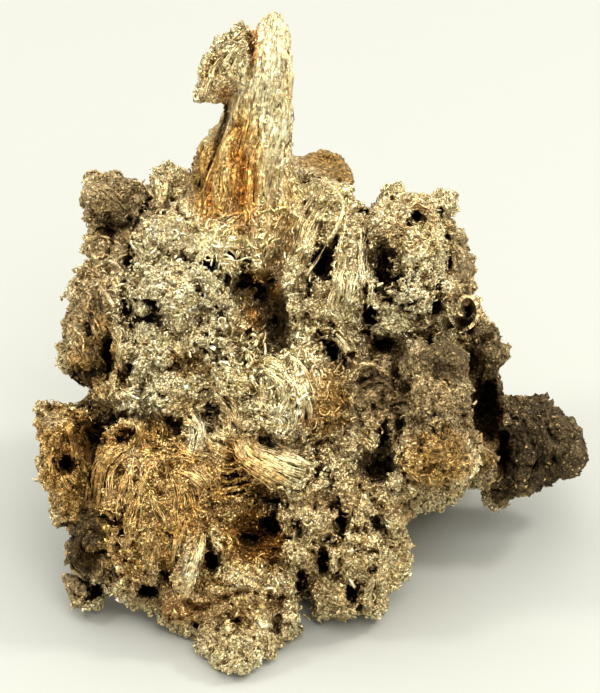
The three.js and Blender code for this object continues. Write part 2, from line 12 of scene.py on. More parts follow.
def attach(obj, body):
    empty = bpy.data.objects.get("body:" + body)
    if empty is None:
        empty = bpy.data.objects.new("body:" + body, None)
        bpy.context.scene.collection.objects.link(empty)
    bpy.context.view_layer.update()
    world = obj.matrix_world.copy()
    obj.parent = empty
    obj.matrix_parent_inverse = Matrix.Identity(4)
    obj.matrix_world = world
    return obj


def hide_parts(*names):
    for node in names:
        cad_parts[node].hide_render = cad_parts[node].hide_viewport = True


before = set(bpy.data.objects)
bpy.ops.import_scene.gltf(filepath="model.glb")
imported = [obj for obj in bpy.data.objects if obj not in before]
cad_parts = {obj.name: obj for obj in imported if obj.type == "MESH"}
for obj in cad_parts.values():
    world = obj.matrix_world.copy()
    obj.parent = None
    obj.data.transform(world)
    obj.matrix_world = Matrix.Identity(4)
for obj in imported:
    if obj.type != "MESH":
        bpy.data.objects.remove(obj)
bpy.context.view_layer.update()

bl_info = {
    "name": "Native silver specimen",
    "version": (1, 0, 0),
    "blender": (4, 5, 0),
    "location": "3D View > Sidebar > Specimen",
    "description": "Grows crust, grains and wires of native silver on a plain solid",
    "category": "Add Mesh",
}

NODE = "native_silver"
MM = 0.001

# The front face leans back. Places on it are given across, up and out of it, in millimetres.
FACE_LOOKS_UP = math.radians(35)
FACE_ORIGIN = np.array([-0.563, 0.060, 21.4])
ACROSS = np.array([1.0, 0.0, 0.0])
UP = np.array([0.0, math.sin(FACE_LOOKS_UP), math.cos(FACE_LOOKS_UP)])
OUT = np.array([0.0, -math.cos(FACE_LOOKS_UP), math.sin(FACE_LOOKS_UP)])
FACE_AXES = np.array([ACROSS, UP, OUT])


def from_face(places):
    """Places on the front face, in millimetres, as points in the part's frame, in millimetres."""
    return FACE_ORIGIN + np.asarray(places, float) @ FACE_AXES


def to_face(points):
    """Points in the part's frame as places on the front face. Both are in millimetres."""
    return (np.asarray(points) - FACE_ORIGIN) @ FACE_AXES.T


# ---------------------------------------------------------------- sizes and colours


def length_property(name, description, default, low, high):
    """A small length that a user would change."""
    return FloatProperty(
        name=name, description=description, default=default, min=low, max=high, unit="LENGTH", precision=6)


def count_property(name, description, default):
    """How many there are of something, which a user would change."""
    return IntProperty(name=name, description=description, default=default, min=100)


class SpecimenSizes(bpy.types.PropertyGroup):
    """Sizes of the crust, its grains and its wires."""

    voxel: length_property("Crust mesh", "Edge of the crust's mesh", 0.00025, 0.0002, 0.001)
    knob: length_property("Knobs", "Height of the crust's knobs", 0.00034, 0.0, 0.001)
    pore: length_property("Pores", "Depth of the small pores between the knobs", 0.0009, 0.0, 0.002)
    grain: length_property("Grains", "Mean half width of a crystal grain", 0.00011, 0.00005, 0.001)
    wire: length_property("Wires", "Half thickness of a straight wire", 0.000075, 0.00003, 0.0005)
    curl: length_property("Curls", "Half thickness of a short curled wire", 0.00008, 0.00003, 0.0005)
    crust_faces: count_property("Crust triangles", "What the crust's mesh is thinned to", 186000)
    grains: count_property("Grain count", "Fine grains on the whole crust", 49000)
    coarse_grains: count_property("Coarse grain count", "Coarser grains on the whole crust", 5500)
    # Dark grains grow in the dark zones: on dark patina and on painted shade.
    dark_grains: count_property("Dark grain count", "Grains of dark patina", 3000)
    curls: count_property("Curl count", "Short thin curled wires", 4200)
    worms: count_property("Thick curl count", "Longer and thicker curled wires", 1000)


def colour_property(name, description, default):
    """A colour that a user would change."""
    return FloatVectorProperty(
        name=name, description=description, default=default, subtype="COLOR", size=3, min=0.0, max=1.0)


class SpecimenColours(bpy.types.PropertyGroup):
    """Colours of the metal, of what has grown or settled on it, and of the shade painted in its hollows."""

    silver: colour_property("Silver", "Clean champagne silver", (0.90, 0.73, 0.42))
    pale: colour_property("Pale silver", "The brightest, cleanest wires", (0.99, 0.88, 0.58))
    gold: colour_property("Golden tarnish", "Thin golden brown tarnish", (0.70, 0.43, 0.13))
    rust: colour_property("Orange tarnish", "Orange brown tarnish in the grooves", (0.56, 0.25, 0.05))
    # Dark patina, which in some dark zones also stands in for painted shade.
    patina: colour_property("Dark patina", "Dark grey brown patina", (0.108, 0.072, 0.028))
    # Painted shade: the near-black colour drawn deep between the grains, in the recesses and in the painted shadows.
    hollow_shade: colour_property("Hollows", "The colour deep between the grains", (0.026, 0.012, 0.003))
    floor: colour_property("Floor", "Pale table top", (0.442, 0.45, 0.409))
    cloud: colour_property("Clouds of the floor", "Faint darker clouds of the table top", (0.395, 0.395, 0.352))


# ---------------------------------------------------------------- noise


def scatter_value(cells, seed):
    """A repeatable number from 0 to 1 for each whole-numbered cell."""
    s = np.sin(cells @ np.array([127.1, 311.7, 74.7]) + seed * 19.19) * 43758.5453
    return s - np.floor(s)


def swells(points, size, seed):
    """Smooth noise from -1 to 1, with bumps of a size in millimetres."""
    scaled = points / size + seed * 3.71
    cell = np.floor(scaled)
    part = scaled - cell
    part = part * part * (3 - 2 * part)
    total = np.zeros(len(points))
    for corner in itertools.product((0, 1), repeat=3):
        weight = np.prod(np.where(corner, part, 1 - part), axis=1)
        total += weight * scatter_value(cell + corner, seed)
    return 2 * total - 1


def drift(points, size, *seeds):
    """Smooth noise in as many directions as there are seeds."""
    return np.stack([swells(points, size, seed) for seed in seeds], axis=1)


def pebbles(points, size, seed):
    """Distance to the nearest of many scattered seeds and to the next one, in shares of the size."""
    scaled = points / size + seed * 5.13
    cell = np.floor(scaled)
    near = np.full(len(points), 9.0)
    after = near.copy()
    for step in itertools.product((-1, 0, 1), repeat=3):
        there = cell + step
        place = there + np.stack([scatter_value(there, seed + k) for k in (1, 2, 3)], axis=1)
        gap = np.linalg.norm(place - scaled, axis=1)
        after = np.minimum(after, np.maximum(near, gap))
        near = np.minimum(near, gap)
    return near, after


def unit(vectors):
    """Vectors at length one."""
    length = np.linalg.norm(vectors, axis=-1, keepdims=True)
    return vectors / np.maximum(length, 1e-12)


# ---------------------------------------------------------------- zones

# Where the metal differs. Each patch is a soft ellipsoid on the front face:
# (across, up, out), (half width, half height, half depth), strength
GOLD = [
    ((-1.8, 11.6, 0), (2.2, 4, 4), 0.4),
    ((4.6, -17, 0), (8, 6.4, 6), 0.18),
    ((-12.5, -12.5, 1), (7.5, 7.5, 7), 0.68),
    ((-19, -10, -1), (4, 5.5, 5), 0.75),
    ((-4.6, -11, 1), (3, 3.4, 5), 0.85),
    ((-4, -16.5, 0.5), (3.2, 2.8, 5), 0.8),
    ((-17.2, -1.6, -2), (2.6, 3.6, 4.5), 0.4),
    ((-4.7, 14.5, 0.5), (1.7, 5.6, 3.2), 0.9),
    ((-7.6, 13.6, -1.5), (1.8, 3.6, 3.4), 0.8),
    ((2.2, -4.4, 0.5), (1.9, 2.9, 3), 0.7),
    ((-7, 22, 2), (1.8, 3.2, 2.6), 0.4),
    ((11.6, -9.6, 3), (3, 2.6, 3.4), 0.75),
    ((15.3, -9.6, -3), (1.6, 2.2, 3), 0.7),
    ((-3.4, 4, -1.5), (1.9, 2.8, 3.6), 0.8),
    ((3, 15.5, -11), (3.8, 4.6, 6), 0.6),
    ((-7.5, -21.5, 1), (6, 2.4, 4), 0.4),
    ((9.4, 9.6, 0.5), (3.6, 2.2, 3), 0.3),
    ((-9.4, -1.4, 1), (1.6, 1.2, 2), 0.7),
]
RUST = [
    ((1, -2.4, 0.5), (0.7, 1.2, 2.4), 0.5),
    ((-5.1, 14, 1), (0.75, 4.8, 2.6), 0.95),
    ((-3.9, 13.4, 1), (0.4, 4, 2.6), 0.7),
    ((-7.7, 12.8, -1.5), (0.5, 1.8, 2.6), 0.75),
    ((-3.9, 25.6, 1), (0.5, 1.8, 2.4), 0.8),
    ((-6.2, 21, 1), (0.7, 1.2, 2.4), 0.7),
    ((-3.2, 3.4, -2), (1.6, 2.2, 3.4), 0.8),
    ((-17.4, -8.2, -1), (2, 2.6, 3.4), 0.6),
    ((-14.9, -7.5, 0), (1.2, 1, 2.6), 0.4),
    ((-3.4, -16, -0.5), (2.8, 2.2, 3.4), 0.75),
    ((0.4, -6.4, 1), (1, 0.9, 2.4), 0.8),
    ((2.4, -3.4, 0.5), (0.8, 0.8, 2.4), 0.8),
    ((3.4, 15, -11), (3.2, 4, 5), 0.2),
    ((-10.5, -22.2, 1), (2.6, 1.4, 2.6), 0.5),
    ((-4.8, -11.4, 0.4), (1.8, 1.8, 2.2), 0.6),
    ((-20, -9.8, -1), (1.2, 1.6, 2.4), 0.5),
]
# Dark patina, and painted shade: some patches darken the shaded sides of lumps, such as the knob and the upper and
# middle left, and the edges of the gulf.
DARK = [
    ((20.4, -8.6, -9.8), (6.6, 5.6, 6.8), 1),
    ((16.3, -1.6, -8), (2.6, 4.6, 4), 0.85),
    ((-17.8, -16.4, -1.5), (3, 3.4, 4.5), 0.95),
    ((-19.4, -20.6, -4), (2, 1.6, 3), 0.5),
    ((12.4, -1.2, 0.5), (3.4, 2, 4), 0.9),
    ((11.6, -4.6, 2.5), (3.2, 2.6, 3.4), 0.5),
    ((-9, 14.8, -2), (1.3, 3.4, 3), 0.5),
    ((-7, 17.4, -1), (0.5, 3.4, 3), 0.6),
    ((-7.5, -23, 1), (6, 3, 4), 0.15),
    ((-18.6, -11.4, -1), (3, 3.4, 4), 0.25),
    ((2.2, -4.2, 0.5), (1.8, 2.6, 3), 0.3),
    ((-11.2, -14, 2), (1.5, 1.3, 2.4), 0.3),
    ((2.6, -13.2, 3), (2.4, 1.6, 2.4), 0.25),
    ((14.2, 3, -3), (2, 2.2, 3.4), 0.45),
    ((13.4, 8.2, -3.6), (1.6, 2, 2.4), 0.5),
    ((7.2, -3.6, -0.2), (3.4, 3.8, 3.6), 0.65),
    ((5.6, -1.6, -0.5), (2.6, 1.6, 3), 0.4),
    ((13.7, 5, -4), (1.7, 4.4, 3.4), 0.6),
    ((-2, 2, -3), (1.2, 3, 3), 0.6),
    ((1.9, -13, 3.4), (1.6, 1.2, 2), 0.5),
    ((-12.6, -20.6, 0), (2, 1.3, 3), 0.6),
    ((-15.6, 12.2, -3.4), (4, 3.8, 4.6), 0.5),
    ((-17.6, 0.4, -3), (2.8, 5.6, 4.2), 0.48),
    ((-16.6, 8.4, -3.6), (2.4, 2.2, 3.6), 0.35),
    ((2.8, 15, -11), (3.8, 4.6, 6), 0.48),
    ((11.6, -7.6, 2), (3.4, 4.2, 3.8), 0.58),
    ((14.4, -5.4, -1), (1.5, 4.4, 4), 0.65),
    ((15.7, -9.8, -3.6), (1.7, 2.8, 4.4), 0.6),
    ((11.4, -13.2, 0), (4.2, 1.8, 4.4), 0.35),
    ((17.6, -12.2, -10), (1.9, 1.9, 4), 1),
    ((-20.4, -6.6, -2.4), (2.4, 1.8, 3), 0.5),
]
# Painted shadow: recesses drawn black where deep shadow falls, in the gaps and in the gulf.
PAINTED_SHADOWS = [
    ((16.1, -5.4, -5), (1.5, 3.2, 7), 1),
    ((17.5, -9.2, -7), (0.7, 2.2, 4), 1),
    ((15.2, -1.8, -4), (0.8, 2, 4), 0.9),
    ((-2.3, 1.6, -1), (1.2, 2.4, 4), 1),
    ((6.8, -10.5, 0), (1.3, 1.2, 3.4), 1),
    ((7.3, -7.8, 0.6), (0.6, 1.6, 3), 0.7),
    ((13.9, 1.6, -3), (1.4, 0.9, 3.6), 1),
    ((7.2, 0.2, 0), (1, 0.8, 3), 0.8),
    ((-2.6, -15.3, 0), (1, 0.9, 3), 1),
    ((-18, -17.8, -1), (1.3, 1.6, 2.6), 0.55),
    ((-16.8, -15.6, -0.4), (1.2, 0.9, 2.6), 0.5),
    ((-16, -19.6, -1.6), (1.4, 0.8, 3), 0.6),
]
PALE = [
    ((-7.4, 22.6, 0.6), (3, 4.4, 4), 0.45),
    ((-10.5, 4, 1.2), (6, 9, 5), 0.4),
    ((-2.6, 16, 1), (1.9, 7.5, 3), 0.42),
    ((-2.8, 24.5, 2), (1.9, 4.6, 3), 0.48),
    ((8.6, 5.6, 2), (5.4, 6.5, 4.5), 0.3),
    ((-13.6, -4.9, 1.2), (1.9, 1.5, 4.5), 1),
    ((-13.8, -9.8, 1.6), (0.9, 1.9, 2.6), 0.6),
    ((-8.7, -7.6, 2), (1.1, 2, 3.4), 0.9),
    ((-0.6, -3.8, 2.4), (3.4, 4.4, 3.4), 0.34),
    ((-9.5, -19, 3.4), (1.4, 3.4, 2.4), 0.4),
    ((-2.6, -9.9, 3.2), (3, 2, 2.6), 0.34),
    ((0.2, 7.8, 0), (1.6, 4, 3), 0.35),
    ((-8.9, -7.6, 2.6), (0.8, 1.8, 2.4), 0.7),
    ((-17.4, 4.4, -2), (2, 1.4, 3), 0.3),
]
# Where wires lie in bundles and few grains grow.
WIRY = [
    ((-4.4, 13.5, 0), (5, 8.5, 7), 1),
    ((-2.4, 22, 1), (2.2, 8.5, 4.4), 1),
    ((-12.4, -12.6, 2), (5.4, 5.6, 4.5), 0.15),
    ((-17.4, -0.4, -2.5), (2.2, 4.2, 4), 0.3),
    ((-18.6, -9.6, -0.5), (2.4, 3.6, 4), 0.4),
    ((4.1, 7.6, 0.4), (1.6, 5, 3.4), 0.45),
    ((-2.6, -9.8, 3), (3.4, 2.2, 3.2), 0.9),
    ((-0.2, -3.6, 2.4), (3.6, 4.2, 3.4), 0.45),
    ((-9.4, -18.8, 3.2), (1.5, 4.2, 2.6), 0.9),
    ((-4.9, -11.4, 2.5), (2.4, 2.6, 3), 0.8),
]
# Where the fine wires all run up the tower.
STRAIGHT = [
    ((-4.6, 12, 0), (5.6, 8, 7), 1),
    ((-2.4, 21, 1), (2.4, 9, 4.4), 1),
]
TOWER_AXIS = tuple(unit(0.1 * ACROSS + UP + 0.22 * OUT))
# Open holes and black gaps in the front face: (across, up), (half width, half height), depth.
HOLES = [
    # the left shoulder's ledge, and the gaps between its leaf-like ribs
    ((-16.3, 9.6), (0.9, 0.35), 1.2), ((-14.6, 7.1), (0.5, 0.9), 1.2),
    ((-16.5, -1), (0.45, 1.3), 1.2), ((-18.7, -3.2), (0.4, 0.6), 0.8),
    ((-17.9, 1.6), (0.35, 0.7), 0.9), ((-15.2, -2.8), (0.35, 0.9), 1),
    # small pits of the silvery middle left
    ((-12.5, 3.7), (0.4, 0.2), 0.4), ((-7.8, 6.9), (0.45, 0.45), 0.9), ((-5.8, 7.4), (0.7, 0.35), 0.9),
    # the crevice at the tower's foot
    ((-2.2, 1.6), (1, 1.9), 2), ((-5, 5.6), (1.7, 0.7), 1.2), ((-1.5, 8.6), (0.5, 2.2), 1.2),
    # holes of the right shoulder
    ((2, 7.2), (1.15, 1.6), 2), ((3, 8.8), (0.4, 0.7), 1.4), ((7.3, 6.8), (1.3, 2), 2),
    ((9.9, 11), (0.6, 0.6), 1.2), ((5.9, 2.6), (0.65, 0.85), 1.5), ((10.8, 4.8), (0.5, 0.3), 1),
    ((11.6, 3.7), (0.55, 0.9), 1.2), ((13.9, 1.5), (1.3, 0.9), 1.6),
    # gaps round the knob, and the gulf beside it
    ((7.1, 0.2), (0.8, 0.9), 1.2), ((11, 0.7), (0.5, 0.65), 1.2), ((14.8, -1.4), (0.45, 1.5), 1.4),
    ((15.9, -5.4), (1.2, 2.1), 2.2), ((17.5, -9.1), (0.5, 1.9), 1.8), ((15.4, -2.7), (0.35, 1.2), 1.4),
    # inside the blade, under the horn, and the holed knob
    ((5.8, -2.9), (1.2, 0.45), 1),
    ((7.05, -4.2), (0.3, 0.3), 1), ((6.2, -5.1), (0.3, 0.3), 1),
    # the lower right
    ((6.8, -10.6), (1.15, 0.95), 2), ((6.9, -8.2), (0.35, 1.3), 1.2), ((3.5, -15.1), (0.3, 1.2), 1.2),
    ((2, -18.2), (0.75, 1.1), 1.6), ((0.1, -20), (0.5, 1.2), 1.4), ((4.4, -20.8), (0.5, 0.75), 1.4),
    ((6.1, -19), (0.35, 0.35), 1),
    # niches and hollows of the golden face
    ((-10, -7.2), (1.5, 1.6), 0.8), ((-17.9, -8.1), (1.2, 1.6), 1.4), ((-14.9, -7.6), (0.7, 0.6), 1.2),
    ((-20.3, -10), (0.7, 0.6), 1.2), ((-17.6, -20.9), (0.7, 0.6), 1.2), ((-12.9, -20.8), (1, 0.7), 1.4),
    # slits of the gills
    ((-5.1, -10.2), (1.2, 0.16), 1.2), ((-5, -10.9), (1.3, 0.16), 1.2),
    ((-4.9, -11.6), (1.3, 0.18), 1.2), ((-4.9, -12.4), (1.2, 0.18), 1.2),
    # the hollow under them and the recess beside the strap
    ((-2.5, -15.2), (0.95, 0.9), 2.2), ((-3.9, -16.6), (1.7, 0.9), 1.4), ((-5, -17.6), (0.7, 0.5), 1.4),
    ((-7.5, -18.2), (0.65, 0.9), 1.6),
    # pores of the bottom lobe
    ((-8.8, -23.4), (0.4, 0.4), 1), ((-5.3, -23.2), (0.4, 0.35), 1), ((-2.1, -23.9), (0.4, 0.4), 1),
]
# Creases between the lobes: the line they follow, half width, depth.
CREASES = [
    (((1.6, 0.9), (2.6, -0.3), (3.7, -1.6)), 0.55, 1.8),
    (((-6.3, 20.4), (-6.5, 18.8), (-7.4, 15.8), (-8.6, 13.6)), 0.34, 0.9),
    (((-3.5, 20), (-3.7, 16), (-4.2, 12)), 0.22, 0.6),
    (((-5.2, 18.8), (-5.4, 15), (-5.5, 11.6)), 0.65, 0.5),
    (((-4.4, 26.4), (-4, 24.6), (-4.4, 22.6)), 0.28, 0.6),
    (((-1.3, 11.1), (-1.4, 8.2), (-3, 5.2), (-2.8, 1.4), (-1.6, -0.6)), 0.7, 1),
    (((-21.6, -5.4), (-18.6, -5), (-14.6, -4.6)), 0.4, 0.9),
    (((-13.6, -4), (-9.4, -4.4), (-6.6, -5.4), (-5.2, -7.4)), 0.35, 0.6),
    (((-1.4, -0.6), (-0.6, -4.6), (1.6, -7.4), (3.6, -9), (5.8, -10.2)), 0.35, 0.6),
    (((8, 0.6), (7.9, -3.4), (8.6, -6.4), (7.8, -9.8)), 0.4, 1),
    (((9.4, 0.9), (12.6, 1.2), (14.6, -0.4)), 0.4, 0.9),
    (((-6.4, -8.6), (-3.6, -12.8), (-1, -13.6), (0.2, -16.6), (1.4, -18)), 0.35, 0.8),
    (((4.6, -11.6), (6.6, -13.6), (9, -13.4)), 0.35, 0.7),
    (((0.6, -16.8), (3.4, -16.4), (6.6, -17.4)), 0.3, 0.7),
    (((-15, -13.8), (-15.4, -17.2), (-13.4, -20.4)), 0.35, 0.7),
    (((-12.4, -16.6), (-10.6, -20.6), (-8.8, -22.2), (-5, -20.6), (-0.4, -21.4)), 0.35, 0.7),
    (((-19.6, -5.4), (-18.4, -8), (-17.6, -12), (-18.4, -14.4)), 0.4, 0.8),
    (((-18.6, 12.4), (-17, 10.8), (-14, 10.2), (-12.6, 12.8)), 0.4, 0.9),
    (((-14.6, 11), (-14.4, 8), (-15.4, 4.4), (-14, 1.2), (-14.6, -2.4)), 0.35, 0.8),
    (((-12.4, 8.8), (-9.6, 7), (-8.4, 4.6), (-6.6, 3)), 0.3, 0.55),
    (((-11.6, 1.4), (-10.4, 0.6), (-7.6, -0.4), (-5.4, -1.8)), 0.3, 0.55),
    (((5.6, 11.6), (5.4, 8.6), (5.7, 5.4), (5.4, 3.2)), 0.35, 0.8),
    (((0.4, 12), (1.4, 9.4), (1, 5.6), (0.2, 3.4)), 0.3, 0.7),
    (((6.4, 4), (9, 3.4), (10.8, 4.2), (12.4, 5.8), (12.6, 9), (12, 12)), 0.35, 0.8),
    (((1, 2), (3.4, 2), (6, 1.2), (7.4, 0.4)), 0.35, 0.8),
    (((16.6, -5), (19, -6.4), (20.6, -9.6), (19.4, -12.2)), 0.2, 0.5),
    (((17.6, -6), (18.8, -9), (18.4, -11.6)), 0.2, 0.6),
    (((20.4, -5.6), (21.8, -8), (22.2, -10.4)), 0.2, 0.5),
]
# Where thick curled wires crowd together.
CURLY = [
    ((-4.6, 8.8, 0), (3.4, 3.2, 4), 1),
    ((-3, -2.4, 2), (4.2, 3.4, 3.5), 0.8),
    ((1.4, -1.4, 2), (3.2, 3.2, 3.4), 0.6),
    ((-8.6, 2.6, 1), (3.4, 3.2, 3.4), 0.12),
    ((-16, 6, -2), (3.6, 3.4, 4), 0.15),
    ((2, 9.6, 0), (2.4, 3.6, 3.4), 0.12),
]
# Where fine wires lie in a matted tangle.
TANGLED = [
    ((-12.2, -12.8, 2), (6.4, 6.4, 6), 1),
    ((-4.6, -11, 1), (2.6, 3.4, 4), 0.8),
]
# Where the crust is compact, cracked and nearly bare of curls.
COMPACT = [
    ((20.4, -8.6, -9.8), (6.8, 5.8, 6.8), 0.95),
    ((12.4, -1.4, 1), (3.4, 2.6, 3.6), 0.7),
    ((13.8, 5.6, -4), (1.7, 3.4, 3.4), 0.9),
    ((2.6, 15.5, -11), (4.4, 5, 7), 1),
    ((13.6, 2.9, -3.6), (2.3, 2.3, 3.6), 1),
    ((16.3, -1.2, -8), (2.2, 3, 3.4), 0.6),
]
# Smooth skins: next to no grains, and hardly any knobs.
SMOOTH = [
    ((-7.2, 22.6, 0.4), (3.4, 5, 4.4), 0.25),
    ((2.6, 15.5, -11), (4.4, 5, 7), 0.8),
    ((13.6, 2.9, -3.6), (2.2, 2.2, 3.6), 1),
    ((12.4, -1.1, 0.6), (3, 2.2, 3.4), 0.6),
    ((13.8, 6.6, -4.4), (1.3, 1.8, 3), 0.9),
]
# Lumps that stand out further than the solid, or less: centre, half sizes, how far.
SWOLLEN = [
    ((-17.6, 13.4, -3), (2.6, 2.8, 4), 0.9),
    ((23.4, -10, -10), (2.4, 3.4, 6), 1.1),
    ((18.9, -4.2, -8), (1.8, 1.3, 5), -0.9),
    ((-20.4, 3.2, -3), (1.6, 1.6, 4), -0.8),
    ((-19, -3.4, -3), (1.8, 1.6, 4), -0.9),
    ((10.2, -16.4, -3), (1.8, 1.8, 4), -0.9),
    ((-8.3, 19.9, 0.2), (1.2, 1.1, 3), -0.8),
    ((-13.6, 2.9, -1.6), (2, 1.1, 4), 1),
]
# Each zone's patches, and the seed of its ragged edges.
ZONES = {
    "gold": (GOLD, 3), "rust": (RUST, 5), "dark": (DARK, 7), "pale": (PALE, 9), "wiry": (WIRY, 11),
    "compact": (COMPACT, 13), "curly": (CURLY, 15), "painted_shadow": (PAINTED_SHADOWS, 17), "tower": (STRAIGHT, 19),
    "smooth": (SMOOTH, 21), "tangled": (TANGLED, 23),
}


def reach_of(places, centre, half):
    """How far places are from an ellipsoid's centre: 1 on its surface."""
    return np.linalg.norm((places - centre) / half, axis=1)


def in_zones(points, *names):
    """How much each point belongs to each of the named zones, from 0 to 1, with ragged edges."""
    places = to_face(points)
    shares = {}
    for name in names:
        rows, seed = ZONES[name]
        ragged = 0.22 * swells(points, 1.9, seed) + 0.14 * swells(points, 0.8, seed + 1)
        most = np.zeros(len(points))
        for centre, half, strength in rows:
            reach = reach_of(places, centre, half)
            most = np.maximum(most, strength * np.clip((1.18 + ragged - reach) / 0.42, 0, 1))
        shares[name] = most
    return shares


def from_line(places, line):
    """How far places of (across, up) are from a line through points of (across, up)."""
    line = np.asarray(line, float)
    near = np.full(len(places), 99.0)
    for start, end in zip(line[:-1], line[1:]):
        step = end - start
        share = np.clip((places - start) @ step / (step @ step), 0, 1)
        near = np.minimum(near, np.linalg.norm(places - start - share[:, None] * step, axis=1))
    return near


def carved(points, normals):
    """How deep the holes and creases of the front face cut at each point, in millimetres."""
    ragged = 0.3 * swells(points, 0.9, 55)
    places = to_face(points)[:, :2] + 0.25 * drift(points, 1.3, 57, 58)
    depth = np.zeros(len(points))
    for centre, half, deep in HOLES:
        reach = reach_of(places, centre, half)
        depth = np.maximum(depth, deep * np.clip((1.25 + ragged - reach) / 0.6, 0, 1))
    for line, half, deep in CREASES:
        reach = from_line(places, line) / half
        depth = np.maximum(depth, deep * np.clip(1.1 + ragged - reach, 0, 1) ** 0.7)
    return depth * np.clip((normals @ OUT + 0.1) / 0.4, 0, 1)


# ---------------------------------------------------------------- meshes from arrays


def deselect():
    """Nothing is selected and no mesh is being edited."""
    if bpy.context.object and bpy.context.object.mode != "OBJECT":
        bpy.ops.object.mode_set(mode="OBJECT")
    bpy.ops.object.select_all(action="DESELECT")


def read(items, name):
    """Three numbers for each item of a mesh."""
    flat = np.empty(len(items) * 3, np.float32)
    items.foreach_get(name, flat)
    return flat.reshape(-1, 3)


def vertices_of(mesh):
    """A mesh's vertices in millimetres."""
    return read(mesh.vertices, "co").astype(float) / MM


def normals_of(mesh):
    """A mesh's vertex normals."""
    return read(mesh.vertex_normals, "vector").astype(float)


def move_vertices(mesh, points):
    """Puts a mesh's vertices at points in millimetres."""
    mesh.vertices.foreach_set("co", (points * MM).astype(np.float32).ravel())
    mesh.update()


def lay_out_faces(mesh, corners):
    """A map named OFBake: each face of the mesh in a small cell of its own, triangles two to a cell."""
    pair = 2 if corners == 3 else 1
    halves = {
        3: [[(0.07, 0.07), (0.83, 0.07), (0.07, 0.83)], [(0.93, 0.93), (0.17, 0.93), (0.93, 0.17)]],
        4: [[(0.08, 0.08), (0.92, 0.08), (0.92, 0.92), (0.08, 0.92)]],
    }[corners]
    number = np.arange(len(mesh.polygons))
    cell = number // pair
    side = math.ceil(math.sqrt(cell[-1] + 1))
    start = np.stack([cell % side, cell // side], axis=1)
    places = (start[:, None] + np.array(halves)[number % pair]) / side
    layer = mesh.uv_layers.new(name="OFBake")
    layer.data.foreach_set("uv", places.astype(np.float32).ravel())


def mesh_piece(name, points, faces):
    """A new object from points in millimetres and faces that all have the same number of corners."""
    mesh = bpy.data.meshes.new(name)
    count, corners = faces.shape
    mesh.vertices.add(len(points))
    move_vertices(mesh, points)
    mesh.loops.add(count * corners)
    mesh.loops.foreach_set("vertex_index", faces.astype(np.int32).ravel())
    mesh.polygons.add(count)
    mesh.polygons.foreach_set("loop_start", np.arange(count, dtype=np.int32) * corners)
    mesh.update(calc_edges=True)
    lay_out_faces(mesh, corners)
    mesh.validate()
    piece = bpy.data.objects.new(name, mesh)
    bpy.context.scene.collection.objects.link(piece)
    return piece


def paint(piece, places, **values):
    """Writes numbers per vertex for the material to read: those given, and the zones that the places lie in."""
    zones = in_zones(places, "gold", "rust", "dark", "pale", "painted_shadow", "tower")
    for name, numbers in {**zones, **values}.items():
        layer = piece.data.attributes.new(name, "FLOAT", "POINT")
        layer.data.foreach_set("value", np.asarray(numbers, np.float32))


def paint_growth(piece, places, near, tones, each, raised=0.1):
    """Paints many small bodies, each with as many corners. near is a vertex of the crust under each place."""
    values = {
        "tone": np.clip(tones, 0, 1),
        # The crust's relief and openness under each body set its painted shade; raised makes that shade lighter.
        "relief": np.clip(ground["relief"][near] + raised, 0, 1),
        "opened": ground["opened"][near],
    }
    paint(piece, np.repeat(places, each, axis=0), **{name: np.repeat(v, each) for name, v in values.items()})


def joined(parts):
    """One set of points and faces from several, given as pairs."""
    points, faces = zip(*parts)
    starts = np.cumsum([0, *map(len, points[:-1])])
    return np.concatenate(points), np.concatenate([own + start for own, start in zip(faces, starts)])


MOST_TRIANGLES = 200000
MOST_IN_ALL = 1000000
grown_triangles = {}


def triangles_of(mesh):
    """How many triangles a mesh comes to."""
    return sum(len(polygon.vertices) - 2 for polygon in mesh.polygons)


def grown(piece, material):
    """Gives a finished piece its material and makes it part of the specimen."""
    piece.data.materials.clear()
    piece.data.materials.append(material)
    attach(piece, "root")
    grown_triangles[piece.name] = triangles_of(piece.data)
    if grown_triangles[piece.name] >= MOST_TRIANGLES or sum(grown_triangles.values()) >= MOST_IN_ALL:
        raise RuntimeError(f"too many triangles: {grown_triangles}")


# ---------------------------------------------------------------- materials

# The fine parallel wires in the surface, the bundles that they lie in, the small knobs and how high all of them are,
# in metres.
BUNDLE_SIZE = 0.0026
STRAND_SIZE = 0.00021
GRANULE_SIZE = 0.00036
BUMP_HEIGHT = 0.00025
HALF_WAY = (0.5, 0.5, 0.5)
# Kinds of surface: roughness, the facets' size and lean, brightness, how deep the fine wires are and how high the
# small knobs. The last two set both the bumps and the painted shade between the wires and between the knobs.
METALS = {
    "crust_silver": (0.40, 0.00017, 1.0, 1.1, 0.8, 0.9),
    "grain_silver": (0.33, 0.00014, 0.6, 1.4, 0.5, 0.0),
    "patina_and_shade_grain": (0.42, 0.00014, 0.6, 1.1, 0.8, 0.0),
    "wire_silver": (0.42, 0.00024, 0.6, 1.1, 0.4, 0.0),
    "tower_silver": (0.50, 0.00024, 0.6, 1.15, 0.5, 0.0),
    "curl_silver": (0.36, 0.0002, 0.5, 1.3, 0.4, 0.0),
    "leaf_silver": (0.42, 0.0002, 0.8, 1.25, 0.9, 0.7),
}


